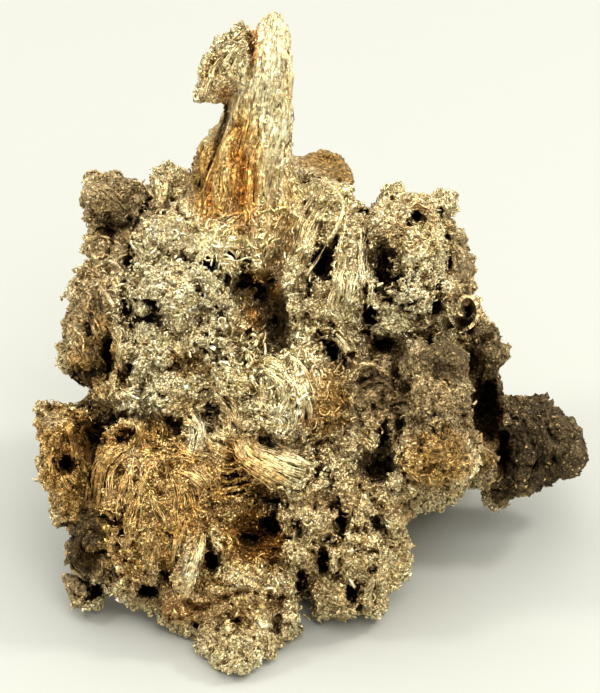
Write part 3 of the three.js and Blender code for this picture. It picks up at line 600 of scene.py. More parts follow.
class Nodes:
    """Adds nodes to a material and links them."""

    def __init__(self, name):
        self.material = bpy.data.materials.new(name)
        self.material.use_nodes = True
        self.tree = self.material.node_tree
        self.shader = self.tree.nodes["Principled BSDF"]
        self.place = self.add("ShaderNodeTexCoord").outputs["Object"]

    def add(self, kind, **settings):
        node = self.tree.nodes.new(kind)
        for name, value in settings.items():
            setattr(node, name, value)
        return node

    def set(self, socket, value):
        if isinstance(value, bpy.types.NodeSocket):
            self.tree.links.new(value, socket)
        elif hasattr(value, "__len__") and socket.type == "RGBA":
            socket.default_value = (*value, 1.0)
        else:
            socket.default_value = value

    def attribute(self, name):
        return self.add("ShaderNodeAttribute", attribute_name=name).outputs["Fac"]

    def mix(self, share, first, second, blend="MIX"):
        node = self.add("ShaderNodeMix", data_type="RGBA", blend_type=blend)
        self.set(node.inputs["Factor"], share)
        self.set(node.inputs[6], first)
        self.set(node.inputs[7], second)
        return node.outputs[2]

    def math(self, operation, first, *others, clamp=False):
        for other in others:
            node = self.add("ShaderNodeMath", operation=operation, use_clamp=clamp)
            self.set(node.inputs[0], first)
            self.set(node.inputs[1], other)
            first = node.outputs[0]
        return first

    def times(self, *values):
        return self.math("MULTIPLY", *values)

    def plus(self, *values, clamp=False):
        return self.math("ADD", *values, clamp=clamp)

    def vector(self, operation, *values, scale=None):
        node = self.add("ShaderNodeVectorMath", operation=operation)
        for socket, value in zip(node.inputs, values):
            self.set(socket, value)
        if scale is not None:
            self.set(node.inputs["Scale"], scale)
        return node.outputs["Value" if operation == "DOT_PRODUCT" else "Vector"]

    def spread(self, value, low, high, to_low=0.0, to_high=1.0):
        node = self.add("ShaderNodeMapRange")
        for socket, number in zip(node.inputs, (value, low, high, to_low, to_high)):
            self.set(socket, number)
        return node.outputs[0]

    def grey(self, value):
        node = self.add("ShaderNodeCombineColor")
        for socket in node.inputs:
            self.set(socket, value)
        return node.outputs[0]

    def texture(self, kind, size, place=None, **numbers):
        """The outputs of a noise or of a pattern of cells. size is its features' size in metres."""
        node = self.add("ShaderNodeTex" + kind)
        self.set(node.inputs["Vector"], self.place if place is None else place)
        self.set(node.inputs["Scale"], 1.0 / size)
        for name, number in numbers.items():
            self.set(node.inputs[name], number)
        return node.outputs

    def strands(self, straight):
        """Fine parallel wires in bundles, each bundle in a direction of its own. Gives a number from 0 to 1.

        Where straight is 1 they all run up the tower."""
        wander = self.texture("Noise", BUNDLE_SIZE / 0.7)["Color"]
        bent = self.vector("MULTIPLY_ADD", wander, (0.9 * BUNDLE_SIZE,) * 3, self.place)
        own = self.vector("SUBTRACT", self.texture("Voronoi", BUNDLE_SIZE, bent)["Color"], HALF_WAY)
        ahead = self.vector("MULTIPLY_ADD", self.grey(self.times(straight, 9.0)), TOWER_AXIS, own)
        ahead = self.vector("NORMALIZE", ahead)
        along = self.times(self.vector("DOT_PRODUCT", bent, ahead), 0.88)
        across = self.vector("SUBTRACT", bent, self.vector("SCALE", ahead, scale=along))
        return self.spread(self.texture("Noise", STRAND_SIZE, across, Detail=1.5)["Fac"], 0.3, 0.7)

    def granules(self):
        """Small round knobs: 1 on their tops, 0 between them."""
        return self.spread(self.texture("Voronoi", GRANULE_SIZE)["Distance"], 0.12, 0.72, 1.0, 0.0)

    def facets(self, size, lean, raised, strength):
        """Tilts the surface a little in each small crystal, so that each one glints on its own.

        raised is a height from 0 to 1 that is pressed into the surface first.
        Gives a number from 0 to 1 for each crystal."""
        pressed = self.add("ShaderNodeBump")
        for name, value in (("Strength", strength), ("Distance", BUMP_HEIGHT), ("Height", raised)):
            self.set(pressed.inputs[name], value)
        crystals = self.texture("Voronoi", size)["Color"]
        tilt = self.vector("SCALE", self.vector("SUBTRACT", crystals, HALF_WAY), scale=lean)
        facing = self.vector("NORMALIZE", self.vector("ADD", pressed.outputs[0], tilt))
        self.set(self.shader.inputs["Normal"], facing)
        parts = self.add("ShaderNodeSeparateColor")
        self.set(parts.inputs[0], crystals)
        return parts.outputs[0]


def metal(name):
    """Silver with its tarnish, and painted shade: colour from the piece's zones, tone, relief and openness, and small
    facets.
    """
    roughness, facet_size, lean, brightness, wires, knobs = METALS[name]
    colours = bpy.context.scene.specimen_colours
    n = Nodes(name)
    gold, rust, dark, pale, painted_shadow, tower = map(n.attribute, ("gold", "rust", "dark", "pale", "painted_shadow", "tower"))
    tone, relief, opened = map(n.attribute, ("tone", "relief", "opened"))
    cloud = n.texture("Noise", 0.0024, Detail=3.0)["Fac"]
    fine = n.texture("Noise", 0.0004, Detail=2.0)["Fac"]

    strand = n.plus(n.times(n.strands(tower), n.spread(dark, 0.0, 1.0, 1.0, 0.45)), n.times(dark, 0.3))
    between = n.times(n.math("SUBTRACT", 1.0, n.granules()), n.spread(tower, 0.0, 0.6, knobs, 0.0))
    crystal = n.facets(facet_size, lean, n.math("SUBTRACT", strand, between), wires)

    # Golden tarnish in the recesses, where openness and relief are low; it also stands in for painted shade there.
    shut = n.spread(opened, 0.3, 0.75, 1.0, 0.0)
    stain = n.plus(gold, n.spread(cloud, 0.45, 0.75, 0.0, 0.3), n.times(shut, 0.5), n.times(dark, 0.6))
    stain = n.plus(stain, n.spread(relief, 0.3, 0.75, 0.75, 0.0), clamp=True)
    stain = n.times(stain, n.spread(pale, 0.2, 1.0, 1.0, 0.35))
    colour = n.mix(pale, colours.silver, colours.pale)
    colour = n.mix(stain, colour, colours.gold)
    colour = n.mix(n.times(rust, n.spread(fine, 0.25, 0.55)), colour, colours.rust)
    # Dark patina, and painted shade where the dark zones cover shaded lumps.
    colour = n.mix(n.times(dark, n.spread(tone, 0.7, 1.0, 1.0, 0.6)), colour, colours.patina)
    # Painted shade: recesses with low relief and openness are darkened towards the near-black shade colour.
    depth = n.times(n.spread(relief, 0.0, 0.6, 0.25, 1.0), n.spread(opened, 0.2, 0.62, 0.0, 1.0))
    colour = n.mix(n.spread(depth, 0.08, 0.7, 0.98, 0.0), colour, colours.hollow_shade)
    # Painted shadow: the deep gaps go all the way to the near-black shade colour.
    colour = n.mix(painted_shadow, colour, colours.hollow_shade)
    # Brightness: random tone and crystals, and painted shade that darkens where the crust is shut in, in the grooves
    # between the fine wires and in the gaps between the small knobs.
    speck = n.times(
        n.spread(tone, 0.0, 1.0, 0.6, brightness),
        n.spread(crystal, 0.0, 1.0, 0.6, 1.35),
        n.spread(strand, 0.1, 0.7, 1.0 - 0.75 * wires, 0.95 + 0.35 * wires),
        n.spread(opened, 0.3, 0.85, 0.6, 1.15),
        n.spread(between, 0.25, 1.0, 1.12, 0.56),
    )
    n.set(n.shader.inputs["Base Color"], n.mix(1.0, colour, n.grey(speck), "MULTIPLY"))
    n.set(n.shader.inputs["Metallic"], n.plus(n.spread(dark, 0.0, 1.0, 0.95, 0.6), painted_shadow, clamp=True))
    rough = n.plus(dark, n.times(fine, 0.4))
    n.set(n.shader.inputs["Roughness"], n.spread(rough, 0.1, 1.1, roughness, roughness + 0.25))
    return n.material


def floor_material():
    """A pale, matt table top with a faint cloudiness."""
    n = Nodes("pale_floor")
    colours = bpy.context.scene.specimen_colours
    cloud = n.spread(n.texture("Noise", 0.09, Detail=3.0)["Fac"], 0.3, 0.7, 0.0, 0.05)
    n.set(n.shader.inputs["Base Color"], n.mix(cloud, colours.floor, colours.cloud))
    n.set(n.shader.inputs["Roughness"], 0.6)
    return n.material


# ---------------------------------------------------------------- the crust

# What later pieces need from the crust: its mesh, a search tree over it, and numbers for each vertex.
ground = {}
# Below this height, in millimetres, the crust stays close to the solid that it rests on.
FOOT_HEIGHT = 0.4


def tree_of(mesh):
    """A search tree over a mesh, in metres."""
    return BVHTree.FromPolygons(
        read(mesh.vertices, "co").tolist(), [tuple(polygon.vertices) for polygon in mesh.polygons])


def openness(tree, points, normals, rays, reach):
    """How much of the sky over each point a surface leaves free, from 0 to 1. reach is how far it looks."""
    turn = np.arange(rays) * math.pi * (3 - math.sqrt(5))
    height = 1 - 2 * (np.arange(rays) + 0.5) / rays
    ring = np.sqrt(1 - height**2)
    sky = np.stack([np.cos(turn) * ring, np.sin(turn) * ring, height], axis=1)
    cast = tree.ray_cast
    free = np.zeros(len(points))
    starts = [Vector(p) for p in (points + 0.03 * reach * normals) * MM]
    for aim in sky:
        aims = unit(normals + 0.97 * aim).tolist()
        for i, start in enumerate(starts):
            gap = cast(start, aims[i], reach * MM)[3]
            free[i] += 1.0 if gap is None else gap / (reach * MM)
    return free / rays


def copy_of_node(name):
    """A merged copy of the CAD solid as an object of its own."""
    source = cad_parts[NODE]
    piece = bpy.data.objects.new(name, source.data.copy())
    piece.data.transform(source.matrix_world)
    bpy.context.scene.collection.objects.link(piece)
    deselect()
    bpy.context.view_layer.objects.active = piece
    piece.select_set(True)
    bpy.ops.object.mode_set(mode="EDIT")
    bpy.ops.mesh.select_all(action="SELECT")
    bpy.ops.mesh.remove_doubles(threshold=0.00001)
    bpy.ops.object.mode_set(mode="OBJECT")
    return piece


def apply(piece, kind, **settings):
    """Adds a modifier and applies it."""
    bpy.context.view_layer.objects.active = piece
    modifier = piece.modifiers.new(kind.lower(), kind)
    for name, value in settings.items():
        setattr(modifier, name, value)
    bpy.ops.object.modifier_apply(modifier=modifier.name)


def flute(points):
    """The long grooves of the tower and the sheaves, from -1 to 1."""
    along = to_face(points) * [1.0, 0.14, 1.0]
    return np.clip(1.1 * swells(along, 0.85, 47) + 0.5 * swells(along, 0.42, 48), -1, 1)


class SPECIMEN_OT_crust(bpy.types.Operator):
    """Grow the knobbly, porous crust on the solid"""

    bl_idname = "specimen.crust"
    bl_label = "Crust"

    def execute(self, context):
        sizes = context.scene.specimen_sizes
        crust = copy_of_node("silver_crust")
        apply(crust, "REMESH", mode="VOXEL", voxel_size=sizes.voxel)
        apply(crust, "SMOOTH", factor=0.5, iterations=3)
        mesh = crust.data
        points, normals = vertices_of(mesh), normals_of(mesh)
        wiry, compact, smooth = in_zones(points, "wiry", "compact", "smooth").values()
        woolly = (1 - wiry) * (1 - compact)
        knob, pore = sizes.knob / MM, sizes.pore / MM
        bend = drift(points, 1.5, 21, 22, 23)
        clump_near, clump_after = pebbles(points + 0.7 * bend, 2.2, 27)
        near, after = pebbles(points + 0.3 * bend, 0.9, 31)
        small_near, _ = pebbles(points + 0.15 * bend, 0.5, 37)
        clump = np.clip(1 - clump_near, 0, 1)
        crack = np.clip(1 - (clump_after - clump_near) / 0.2, 0, 1)
        rounds = np.clip(1 - near, 0, 1) ** 0.7
        seams = np.clip((after - near) / 0.25, 0, 1)
        small = np.clip(1 - small_near, 0, 1)
        fold = np.abs(swells(points + 1.2 * bend, 3.6, 39))
        folded = np.clip(1 - fold / 0.14, 0, 1) * np.clip(0.6 + swells(points, 5.0, 40), 0, 1)
        sponge = swells(points, 1.2, 41) + 0.5 * swells(points, 0.6, 43)
        pits = np.clip((sponge - 0.42) / 0.4, 0, 1)
        cut = carved(points, normals)
        wool = knob * (1.6 * clump + 1.0 * rounds + 0.6 * seams + 1.1 * small - 2.0 - 1.3 * crack)
        wool = wool + 0.25 * knob * swells(points, 0.3, 45) - pore * pits - 0.8 * folded
        flutes = knob * (1.3 * flute(points) - 0.3)
        slabs = knob * (2.0 * clump - 1.4 * crack - 0.6 + 1.0 * rounds - 0.5 * (1 - seams)) - 0.9 * pore * pits
        height = (1 - 0.8 * smooth) * (woolly * wool + wiry * flutes + (1 - wiry) * compact * slabs) - cut
        places = to_face(points)
        for centre, half, rise in SWOLLEN:
            height += rise * np.clip(1.2 - reach_of(places, centre, half), 0, 1)
        height[points[:, 2] < FOOT_HEIGHT] *= 0.25
        inward = np.where(cut[:, None] > 0.2, OUT, normals)
        moved = points + inward * height[:, None]
        moved[:, 2] = np.maximum(moved[:, 2], 0.0)
        move_vertices(mesh, moved)
        apply(crust, "DECIMATE", ratio=min(1.0, sizes.crust_faces / triangles_of(mesh)))
        apply(crust, "TRIANGULATE")
        lay_out_faces(mesh, 3)

        points, normals = vertices_of(mesh), normals_of(mesh)
        ground["grown"] = tree_of(mesh)
        # Openness over 5 mm and over 1.2 mm (relief): the material paints shade into the recesses from both.
        opened = openness(ground["grown"], points, normals, rays=16, reach=5.0)
        local = openness(ground["grown"], points, normals, rays=10, reach=1.2)
        relief = np.clip((local - 0.25) / 0.5, 0, 1)
        tone = np.clip(0.5 + 0.35 * swells(points, 0.4, 51), 0, 1)
        paint(crust, points, tone=tone, relief=relief, opened=opened)
        ground.update(
            crust=mesh, relief=relief, opened=opened,
            **in_zones(points, "wiry", "compact", "smooth", "curly", "tangled", "dark", "painted_shadow"))
        deselect()
        crust.select_set(True)
        bpy.ops.object.shade_flat()
        grown(crust, metal("crust_silver"))
        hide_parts(NODE)
        return {"FINISHED"}


# ---------------------------------------------------------------- grains


def random_turns(rng, count):
    """Random rotation matrices."""
    w, x, y, z = unit(rng.normal(size=(count, 4))).T
    rows = [
        [1 - 2 * (y * y + z * z), 2 * (x * y - z * w), 2 * (x * z + y * w)],
        [2 * (x * y + z * w), 1 - 2 * (x * x + z * z), 2 * (y * z - x * w)],
        [2 * (x * z - y * w), 2 * (y * z + x * w), 1 - 2 * (x * x + y * y)],
    ]
    return np.moveaxis(np.array(rows), 2, 0)


# Nothing grows below this height, in millimetres.
LOWEST_GROWTH = 0.6


def facing_front(normals):
    """1 for spots that look out of the front face or up, less for those behind and below."""
    return np.clip(0.75 + 0.5 * (normals @ OUT) + 0.25 * normals[:, 2], 0.4, 1.0)


def spots_on_crust(rng, count, weight):
    """Random spots on the crust: points, normals and the number of a near vertex. weight is one number per vertex."""
    mesh = ground["crust"]
    mesh.calc_loop_triangles()
    corners = np.empty(len(mesh.loop_triangles) * 3, np.int32)
    mesh.loop_triangles.foreach_get("vertices", corners)
    corners = corners.reshape(-1, 3)
    points = vertices_of(mesh)
    a, b, c = points[corners[:, 0]], points[corners[:, 1]], points[corners[:, 2]]
    cross = np.cross(b - a, c - a)
    chance = np.linalg.norm(cross, axis=1) * weight[corners[:, 0]] * (a[:, 2] > LOWEST_GROWTH)
    chance *= facing_front(unit(cross)) * np.clip((ground["opened"][corners[:, 0]] - 0.2) / 0.3, 0.05, 1)
    chosen = rng.choice(len(corners), size=count, p=chance / chance.sum())
    u, v = rng.random(count), rng.random(count)
    flip = u + v > 1
    u[flip], v[flip] = 1 - u[flip], 1 - v[flip]
    spots = a[chosen] + u[:, None] * (b - a)[chosen] + v[:, None] * (c - a)[chosen]
    return spots, unit(cross[chosen]), corners[chosen, 0]


# Two crystals' corners and faces: a blocky one and a sharp flake.
BLOCK = (
    np.array([[1, 0, 0], [-1, 0, 0], [0, 1, 0], [0, -1, 0], [0, 0, 1], [0, 0, -1]], float),
    np.array([[0, 2, 4], [2, 1, 4], [1, 3, 4], [3, 0, 4], [2, 0, 5], [1, 2, 5], [3, 1, 5], [0, 3, 5]]),
)
FLAKE = (
    np.array([[1, 1, 1], [-1, -1, 1], [-1, 1, -1], [1, -1, -1]], float) * 0.8,
    np.array([[0, 2, 1], [0, 1, 3], [0, 3, 2], [1, 2, 3]]),
)


def grains_piece(name, seed, count, size, weight, crystal):
    """One mesh of small crystals that sit in the crust."""
    rng = np.random.default_rng(seed)
    spots, normals, near = spots_on_crust(rng, count, weight)
    corners, faces = crystal
    each = len(corners)
    sizes = size * rng.lognormal(0.0, 0.42, count)
    stretch = rng.uniform(0.5, 1.15, (count, 1, 3))
    stretch[..., 0] *= rng.choice([1.0, 1.5, 2.2], size=(count, 1), p=[0.5, 0.35, 0.15])
    shape = stretch * corners + rng.normal(0, 0.18, (count, each, 3))
    turned = np.einsum("nij,nkj->nki", random_turns(rng, count), shape)
    turned -= 0.5 * np.einsum("nij,nj->ni", turned, normals)[..., None] * normals[:, None]
    centres = spots + normals * (sizes * rng.uniform(-0.2, 0.4, count))[:, None]
    points = centres[:, None, :] + turned * sizes[:, None, None]
    points[..., 2] = np.maximum(points[..., 2], 0.0)
    piece = mesh_piece(name, points.reshape(-1, 3), (faces + each * np.arange(count)[:, None, None]).reshape(-1, 3))
    paint_growth(piece, spots, near, rng.normal(0.5, 0.3, count), each)
    return piece


class SPECIMEN_OT_grains(bpy.types.Operator):
    """Scatter small crystal grains over the crust"""

    bl_idname = "specimen.grains"
    bl_label = "Grains"

    def execute(self, context):
        sizes = context.scene.specimen_sizes
        grain = sizes.grain / MM
        lively = (0.1 + ground["relief"]) * (1 - 0.93 * ground["wiry"])
        lively = lively * (1 - 0.95 * ground["smooth"]) * (1 - 0.9 * ground["painted_shadow"])
        bright = lively * (1 - 0.4 * ground["compact"]) * (1 - 0.6 * ground["dark"])
        # Grains for the dark zones, which hold dark patina and painted shade.
        dull = lively * np.clip(ground["dark"] - 0.2, 0, 1) + 1e-6
        material = metal("grain_silver")
        grown(grains_piece("silver_grains", 701, sizes.grains, grain, bright, FLAKE), material)
        grown(grains_piece("silver_coarse_grains", 703, sizes.coarse_grains, 1.4 * grain, bright, BLOCK),
              material)
        grown(grains_piece("patina_and_shade_grains", 702, sizes.dark_grains, 1.2 * grain, dull, BLOCK),
              metal("patina_and_shade_grain"))
        return {"FINISHED"}


# ---------------------------------------------------------------- wires

# How many sides a wire has.
SIDES = 3


def tubes(lines, thick, tops, sides=SIDES):
    """Closed tubes along lines, an array of lines by points by 3. thick is each point's half thickness."""
    count, steps, _ = lines.shape
    along = unit(np.gradient(lines, axis=1))
    aside = unit(np.cross(along, tops))
    above = np.cross(aside, along)
    turn = 2 * math.pi * np.arange(sides) / sides
    ring = np.cos(turn)[:, None] * aside[:, :, None, :] + np.sin(turn)[:, None] * above[:, :, None, :]
    points = (lines[:, :, None, :] + ring * thick[:, :, None, None]).reshape(-1, 3)
    first = (np.arange(count) * steps)[:, None, None] + np.arange(steps - 1)[None, :, None]
    this = np.arange(sides)
    after = (this + 1) % sides
    low, high = first * sides, (first + 1) * sides
    one = np.stack([low + this, high + this, high + after], axis=-1)
    two = np.stack([low + this, high + after, low + after], axis=-1)
    start = (np.arange(count) * steps * sides)[:, None]
    end = start + (steps - 1) * sides
    fan = np.arange(1, sides - 1)
    start_cap = np.stack([start + 0 * fan, start + fan, start + fan + 1], axis=-1)
    end_cap = np.stack([end + 0 * fan, end + fan + 1, end + fan], axis=-1)
    faces = [f.reshape(-1, 3)[:, ::-1] for f in (one, two, start_cap, end_cap)]
    return points, np.concatenate(faces)


def resample(points, steps):
    """A smooth curve through a few points, as evenly numbered points."""
    points = np.asarray(points, float)
    ends = np.concatenate([[2 * points[0] - points[1]], points, [2 * points[-1] - points[-2]]])
    at = np.linspace(0, len(points) - 1 - 1e-9, steps)
    low = at.astype(int)
    t = (at - low)[:, None]
    p0, p1, p2, p3 = (ends[low + k] for k in range(4))
    return 0.5 * (2 * p1 + (p2 - p0) * t + (2 * p0 - 5 * p1 + 4 * p2 - p3) * t**2
                  + (3 * p1 - p0 - 3 * p2 + p3) * t**3)


def smoothed(lines, rounds):
    """Lines with their points pulled towards the middle of their neighbours."""
    for _ in range(rounds):
        lines[:, 1:-1] = 0.5 * lines[:, 1:-1] + 0.25 * (lines[:, :-2] + lines[:, 2:])
    return lines


# How far in front of the face lines start to be lowered, and how far they are lowered at most, in millimetres.
IN_FRONT = 16.0
LOWERED = 40.0


def drop_on_face(lines, lift):
    """Lowers lines, given in face places, on the crust, from in front. lift is how far they stand off."""
    start = from_face(np.concatenate([lines[..., :2], np.full(lines.shape[:2] + (1,), IN_FRONT)], axis=2))
    down = Vector(-OUT)
    out = np.full(lines.shape[:2], np.nan)
    for i, j in np.ndindex(out.shape):
        gap = ground["grown"].ray_cast(Vector(start[i, j] * MM), down, LOWERED * MM)[3]
        if gap is not None:
            out[i, j] = IN_FRONT - gap / MM
    struck = ~np.isnan(out).any(axis=1)
    lines, out, lift = lines[struck], out[struck], np.broadcast_to(lift, out.shape)[struck]
    bridged = out.copy()
    bridged[:, 1:-1] = np.maximum(out[:, 1:-1], 0.5 * (out[:, :-2] + out[:, 2:]))
    kept = smoothed(bridged[..., None].copy(), 3)[..., 0]
    placed = lines.copy()
    placed[..., 2] = np.maximum(kept, out - 0.1) + lift
    return from_face(placed)


def frizz(rng, lines, amount, size):
    """Lines pushed about by smooth noise, each line in its own way."""
    count, steps, _ = lines.shape
    apart = np.repeat(rng.uniform(-40, 40, (count, 1, 3)), steps, axis=1)
    flat = (lines + apart).reshape(-1, 3)
    return lines + amount * drift(flat, size, 61, 62, 63).reshape(lines.shape)


def line_on_face(guide, steps):
    """A smooth line through (across, up) places on the face's plane, the way it runs, and the way to its side."""
    line = resample(np.c_[np.asarray(guide, float), np.zeros(len(guide))], steps)
    along = unit(np.gradient(line, axis=0))
    return line, along, np.stack([-along[:, 1], along[:, 0], np.zeros(steps)], axis=1)


def bundle(rng, guide, half, count, steps=12, lift=0.08, wave=0.1, spread=1.0, crest=0.0, length=0.6, stray=0.25):
    """Wires that run along a guide of (across, up) places on the face, gathered in locks.

    half is the bundle's half width, spread how much wider its far end is, and crest how high its middle stands.
    length is a wire's length as a share of the guide, and stray how far it leaves the guide's direction."""
    fine = 40
    middle, _, aside = line_on_face(guide, fine)
    locks = max(3, count // 7)
    lock = rng.integers(0, locks, count)
    lengths = np.clip(length * rng.uniform(0.6, 1.3, locks)[lock] + rng.normal(0, 0.05, count), 0.12, 1)
    start = np.clip((rng.random(locks)[lock] + rng.normal(0, 0.06, count)) * (1 - lengths), 0, 1 - lengths)
    share = start[:, None] + lengths[:, None] * np.linspace(0, 1, steps)
    index = share * (fine - 1)
    low = np.minimum(index.astype(int), fine - 2)
    part = (index - low)[..., None]
    line = middle[low] * (1 - part) + middle[low + 1] * part
    side = aside[low] * (1 - part) + aside[low + 1] * part
    place = (rng.uniform(-0.95, 0.95, locks)[lock] + rng.normal(0, 0.12, count))[:, None]
    place = place + (rng.normal(0, stray, locks)[lock] + rng.normal(0, 0.4 * stray, count))[:, None] * (
        share - start[:, None])
    width = half * (1 + (spread - 1) * share)
    phase = rng.uniform(0, 2 * math.pi, locks)[lock][:, None] + rng.normal(0, 0.4, (count, 1))
    line = line + side * (width * place + wave * np.sin(7 * share + phase))[..., None]
    stand = lift + crest * np.clip(1 - place**2, 0, 1) * np.sin(math.pi * share)
    stand = stand + rng.uniform(0, 0.25, locks)[lock][:, None] + rng.normal(0, 0.05, (count, 1))
    return frizz(rng, drop_on_face(line, stand), 0.12, 0.7)


# Bundles on the front face: guide, half width, number of wires, and how they differ from plain ones.
BUNDLES = [
    # the head's slanting sheaf
    (((-3.9, 26.6), (-5.3, 25.4), (-6.9, 23.4), (-8, 21)), 1.2, 20, dict(crest=0.1, length=0.35)),
    # loose strands and the slanting sheet beside the tower
    (((1.2, 14.4), (2.6, 13.8), (3.7, 12.3), (3.3, 10.4), (2.2, 8.4), (0.6, 6)), 0.16, 12,
     dict(lift=0.9, length=0.9, stray=0.05, wave=0.02)),
    (((2.2, 13), (0.6, 10.4), (-0.4, 6.6)), 0.9, 34, dict(crest=0.2)),
    # the right shoulder's wiry column
    (((4.6, 11.8), (4.5, 8.4), (4.2, 5.2), (3.6, 2.4)), 1.3, 46, dict(crest=0.1, spread=1.3, wave=0.2, length=0.4)),
    # the bright sheaf that sweeps across the middle
    (((-4.9, -7.6), (-4.2, -9), (-2.2, -10.1), (0.2, -11.2)), 0.9, 90, dict(spread=1.7, crest=0.5)),
    (((-2.6, -8.4), (-1, -9.2), (1.2, -10)), 0.5, 36, dict(crest=0.4)),
    (((-1.6, -0.9), (-0.4, -2), (0.2, -4.4), (0.3, -6.6)), 0.8, 60, dict(wave=0.2, crest=0.3)),
    (((-4.2, -1.2), (-2.4, -2), (-0.9, -3.9), (-1.4, -6.2)), 0.8, 54, dict(wave=0.22, crest=0.3)),
    (((-5.4, -3.2), (-3.6, -4.2), (-2.8, -6.2)), 0.7, 40, dict(wave=0.2)),
    (((-7.6, -4), (-6, -5.4), (-5.2, -7.4)), 0.6, 34, dict(wave=0.16)),
    # the pale strap
    (((-7.9, -15.4), (-8.4, -17.3), (-9.2, -19.7), (-10.2, -22)), 0.3, 46, dict(spread=1.8, crest=0.4, wave=0.16)),
    (((-7.6, -16), (-6.9, -17), (-6.6, -17.9)), 0.16, 12, dict(lift=0.5)),
    # locks and fans of the golden face
    (((-13.9, -8.2), (-15.4, -8.8), (-16.9, -10.7), (-17.3, -13.6)), 0.8, 54, dict(spread=1.5, crest=0.5, wave=0.06)),
    (((-13.4, -8.6), (-14.4, -11.4), (-14.6, -15.4)), 0.6, 24, dict(spread=2.6, wave=0.2, stray=0.5, length=0.35)),
    (((-12.7, -8.8), (-12.7, -12), (-12.2, -16.6)), 0.6, 20, dict(spread=2.8, wave=0.24, stray=0.6, length=0.3)),
    (((-11.8, -9), (-10.9, -12), (-10.2, -15.8)), 0.6, 24, dict(spread=2.6, wave=0.24, stray=0.6, length=0.3)),
    (((-10.8, -9.2), (-8.9, -11), (-7.4, -13.4)), 0.7, 30, dict(spread=2.0, wave=0.2, stray=0.5, length=0.35)),
    (((-10.4, -7.6), (-8, -8.9), (-5.9, -10.2)), 0.8, 30, dict(spread=1.5, wave=0.2, stray=0.5, length=0.4)),
    (((-8.4, -6.8), (-6.8, -8), (-5.4, -8.9)), 0.7, 36, dict(spread=1.3, wave=0.12)),
    (((-12.4, -15.4), (-11.6, -17.4), (-11.8, -19.8)), 0.9, 26, dict(spread=1.2, wave=0.2, stray=0.5)),
    (((-9.9, -14.4), (-10.4, -16.4), (-11, -18.8)), 0.4, 26, dict(crest=0.4)),
    (((-21.2, -8.6), (-20.8, -10.5), (-19.1, -12.7)), 0.8, 26, dict(crest=0.2, wave=0.2, length=0.4)),
    (((-19.6, -6.6), (-19, -8.4), (-18.6, -10.8)), 0.7, 30, dict(crest=0.2)),
    (((-14.2, -5.6), (-13.9, -7), (-13.6, -8.6)), 0.5, 40, dict(crest=0.3)),
    (((-12.4, -5.2), (-11.6, -6.8), (-12, -8.6)), 0.5, 36, dict(crest=0.3)),
    (((-9.2, -5.6), (-8.7, -7.4), (-9.2, -9.2)), 0.6, 50, dict(crest=0.6)),
    (((-14.8, -4.6), (-13.4, -4.6), (-12.2, -3.4)), 0.8, 60, dict(crest=0.4)),
    # ribs down the left shoulder
    (((-19.4, 0.9), (-18.5, -1.4), (-17.4, -4.1)), 0.5, 14, dict(crest=0.3, wave=0.2)),
    (((-17.5, 2.4), (-17, -0.4), (-15.8, -3.6)), 0.5, 14, dict(crest=0.3, wave=0.2)),
    (((-15.4, 0.8), (-15.2, -1.4), (-14.8, -3.6)), 0.5, 12, dict(crest=0.3, wave=0.2)),
    (((-16.9, 5.4), (-16.4, 4.2), (-15.4, 2.8)), 0.25, 20, dict(crest=0.5, lift=0.4)),
    (((-18, 13.9), (-16.3, 13.1), (-14.6, 11.7)), 0.35, 26, dict(crest=0.3)),
    (((-11.9, 14.8), (-11.9, 13), (-12.4, 11)), 0.5, 40, dict(crest=0.3)),
    # the small holed knob's horns and rim
    (((3.8, -2.4), (5.5, -1.4), (7.2, -1.9), (8.3, -3.6)), 0.25, 20, dict(crest=0.5)),
    (((4.4, -4.6), (5.3, -3.2), (6.8, -2.9), (8.1, -4.2)), 0.25, 20, dict(crest=0.4)),
    (((1.6, 1.2), (2.9, 1), (4, -0.2), (4.6, -1.6)), 0.3, 26, dict(crest=0.7, lift=0.3)),
]

# The tower's axis on the front face, from its foot to its tip.
TOWER = [
    (-5, 6.6, -5.2), (-5, 11.2, -3.9), (-4.8, 15.4, -2.6), (-3.8, 18.4, -1.7),
    (-3.3, 21.2, -0.9), (-3, 24, 0), (-2.5, 26.4, 0.7), (-2.3, 28.2, 1.2),
]

# Single curled wires that stand out of the front face: places on it, in turn.
LOOSE = [
    [(-7.1, 11.4), (-6.3, 11.1), (-5.1, 11.4), (-4.6, 11), (-4.8, 10.2), (-5.1, 9.7)],
    [(-6.4, 9.4), (-5.7, 9), (-4.8, 9.2), (-4.1, 8.5), (-3.2, 8.2)],
    [(-3.2, 9.9), (-2.9, 9), (-2.7, 8), (-3.2, 7.1)],
    [(-6.6, 8.2), (-5.9, 8.5), (-5.1, 8), (-4.9, 7.2)],
    [(-5.1, 7.5), (-4.1, 7.1), (-3.2, 6.6), (-2.9, 5.8)],
    [(-7.6, 10.4), (-7.1, 9.8), (-7.3, 9), (-6.7, 8.6)],
    [(-3, -0.2), (-2.4, 0.1), (-1.7, -0.3), (-1.6, -1.2), (-2.2, -1.5), (-2.8, -1.2)],
    [(-4.5, 0.7), (-4.1, 1), (-3.6, 0.7), (-3.7, 0.1), (-4.2, 0)],
    [(-5.4, -0.6), (-4.8, -0.2), (-4.3, -0.6), (-4.5, -1.3)],
    [(-18.3, 8.8), (-17.2, 9.4), (-16.2, 9.2), (-15.2, 8.6)],
    [(-17.6, 6.9), (-16.6, 7.3), (-15.6, 7), (-15, 6.2)],
    [(-7.6, -16.4), (-7, -16.6), (-6.5, -17.3), (-6.7, -18)],
    [(-8, -15.6), (-7.2, -15.4), (-6.6, -15.9)],
]
LOOSE_STEPS = 14

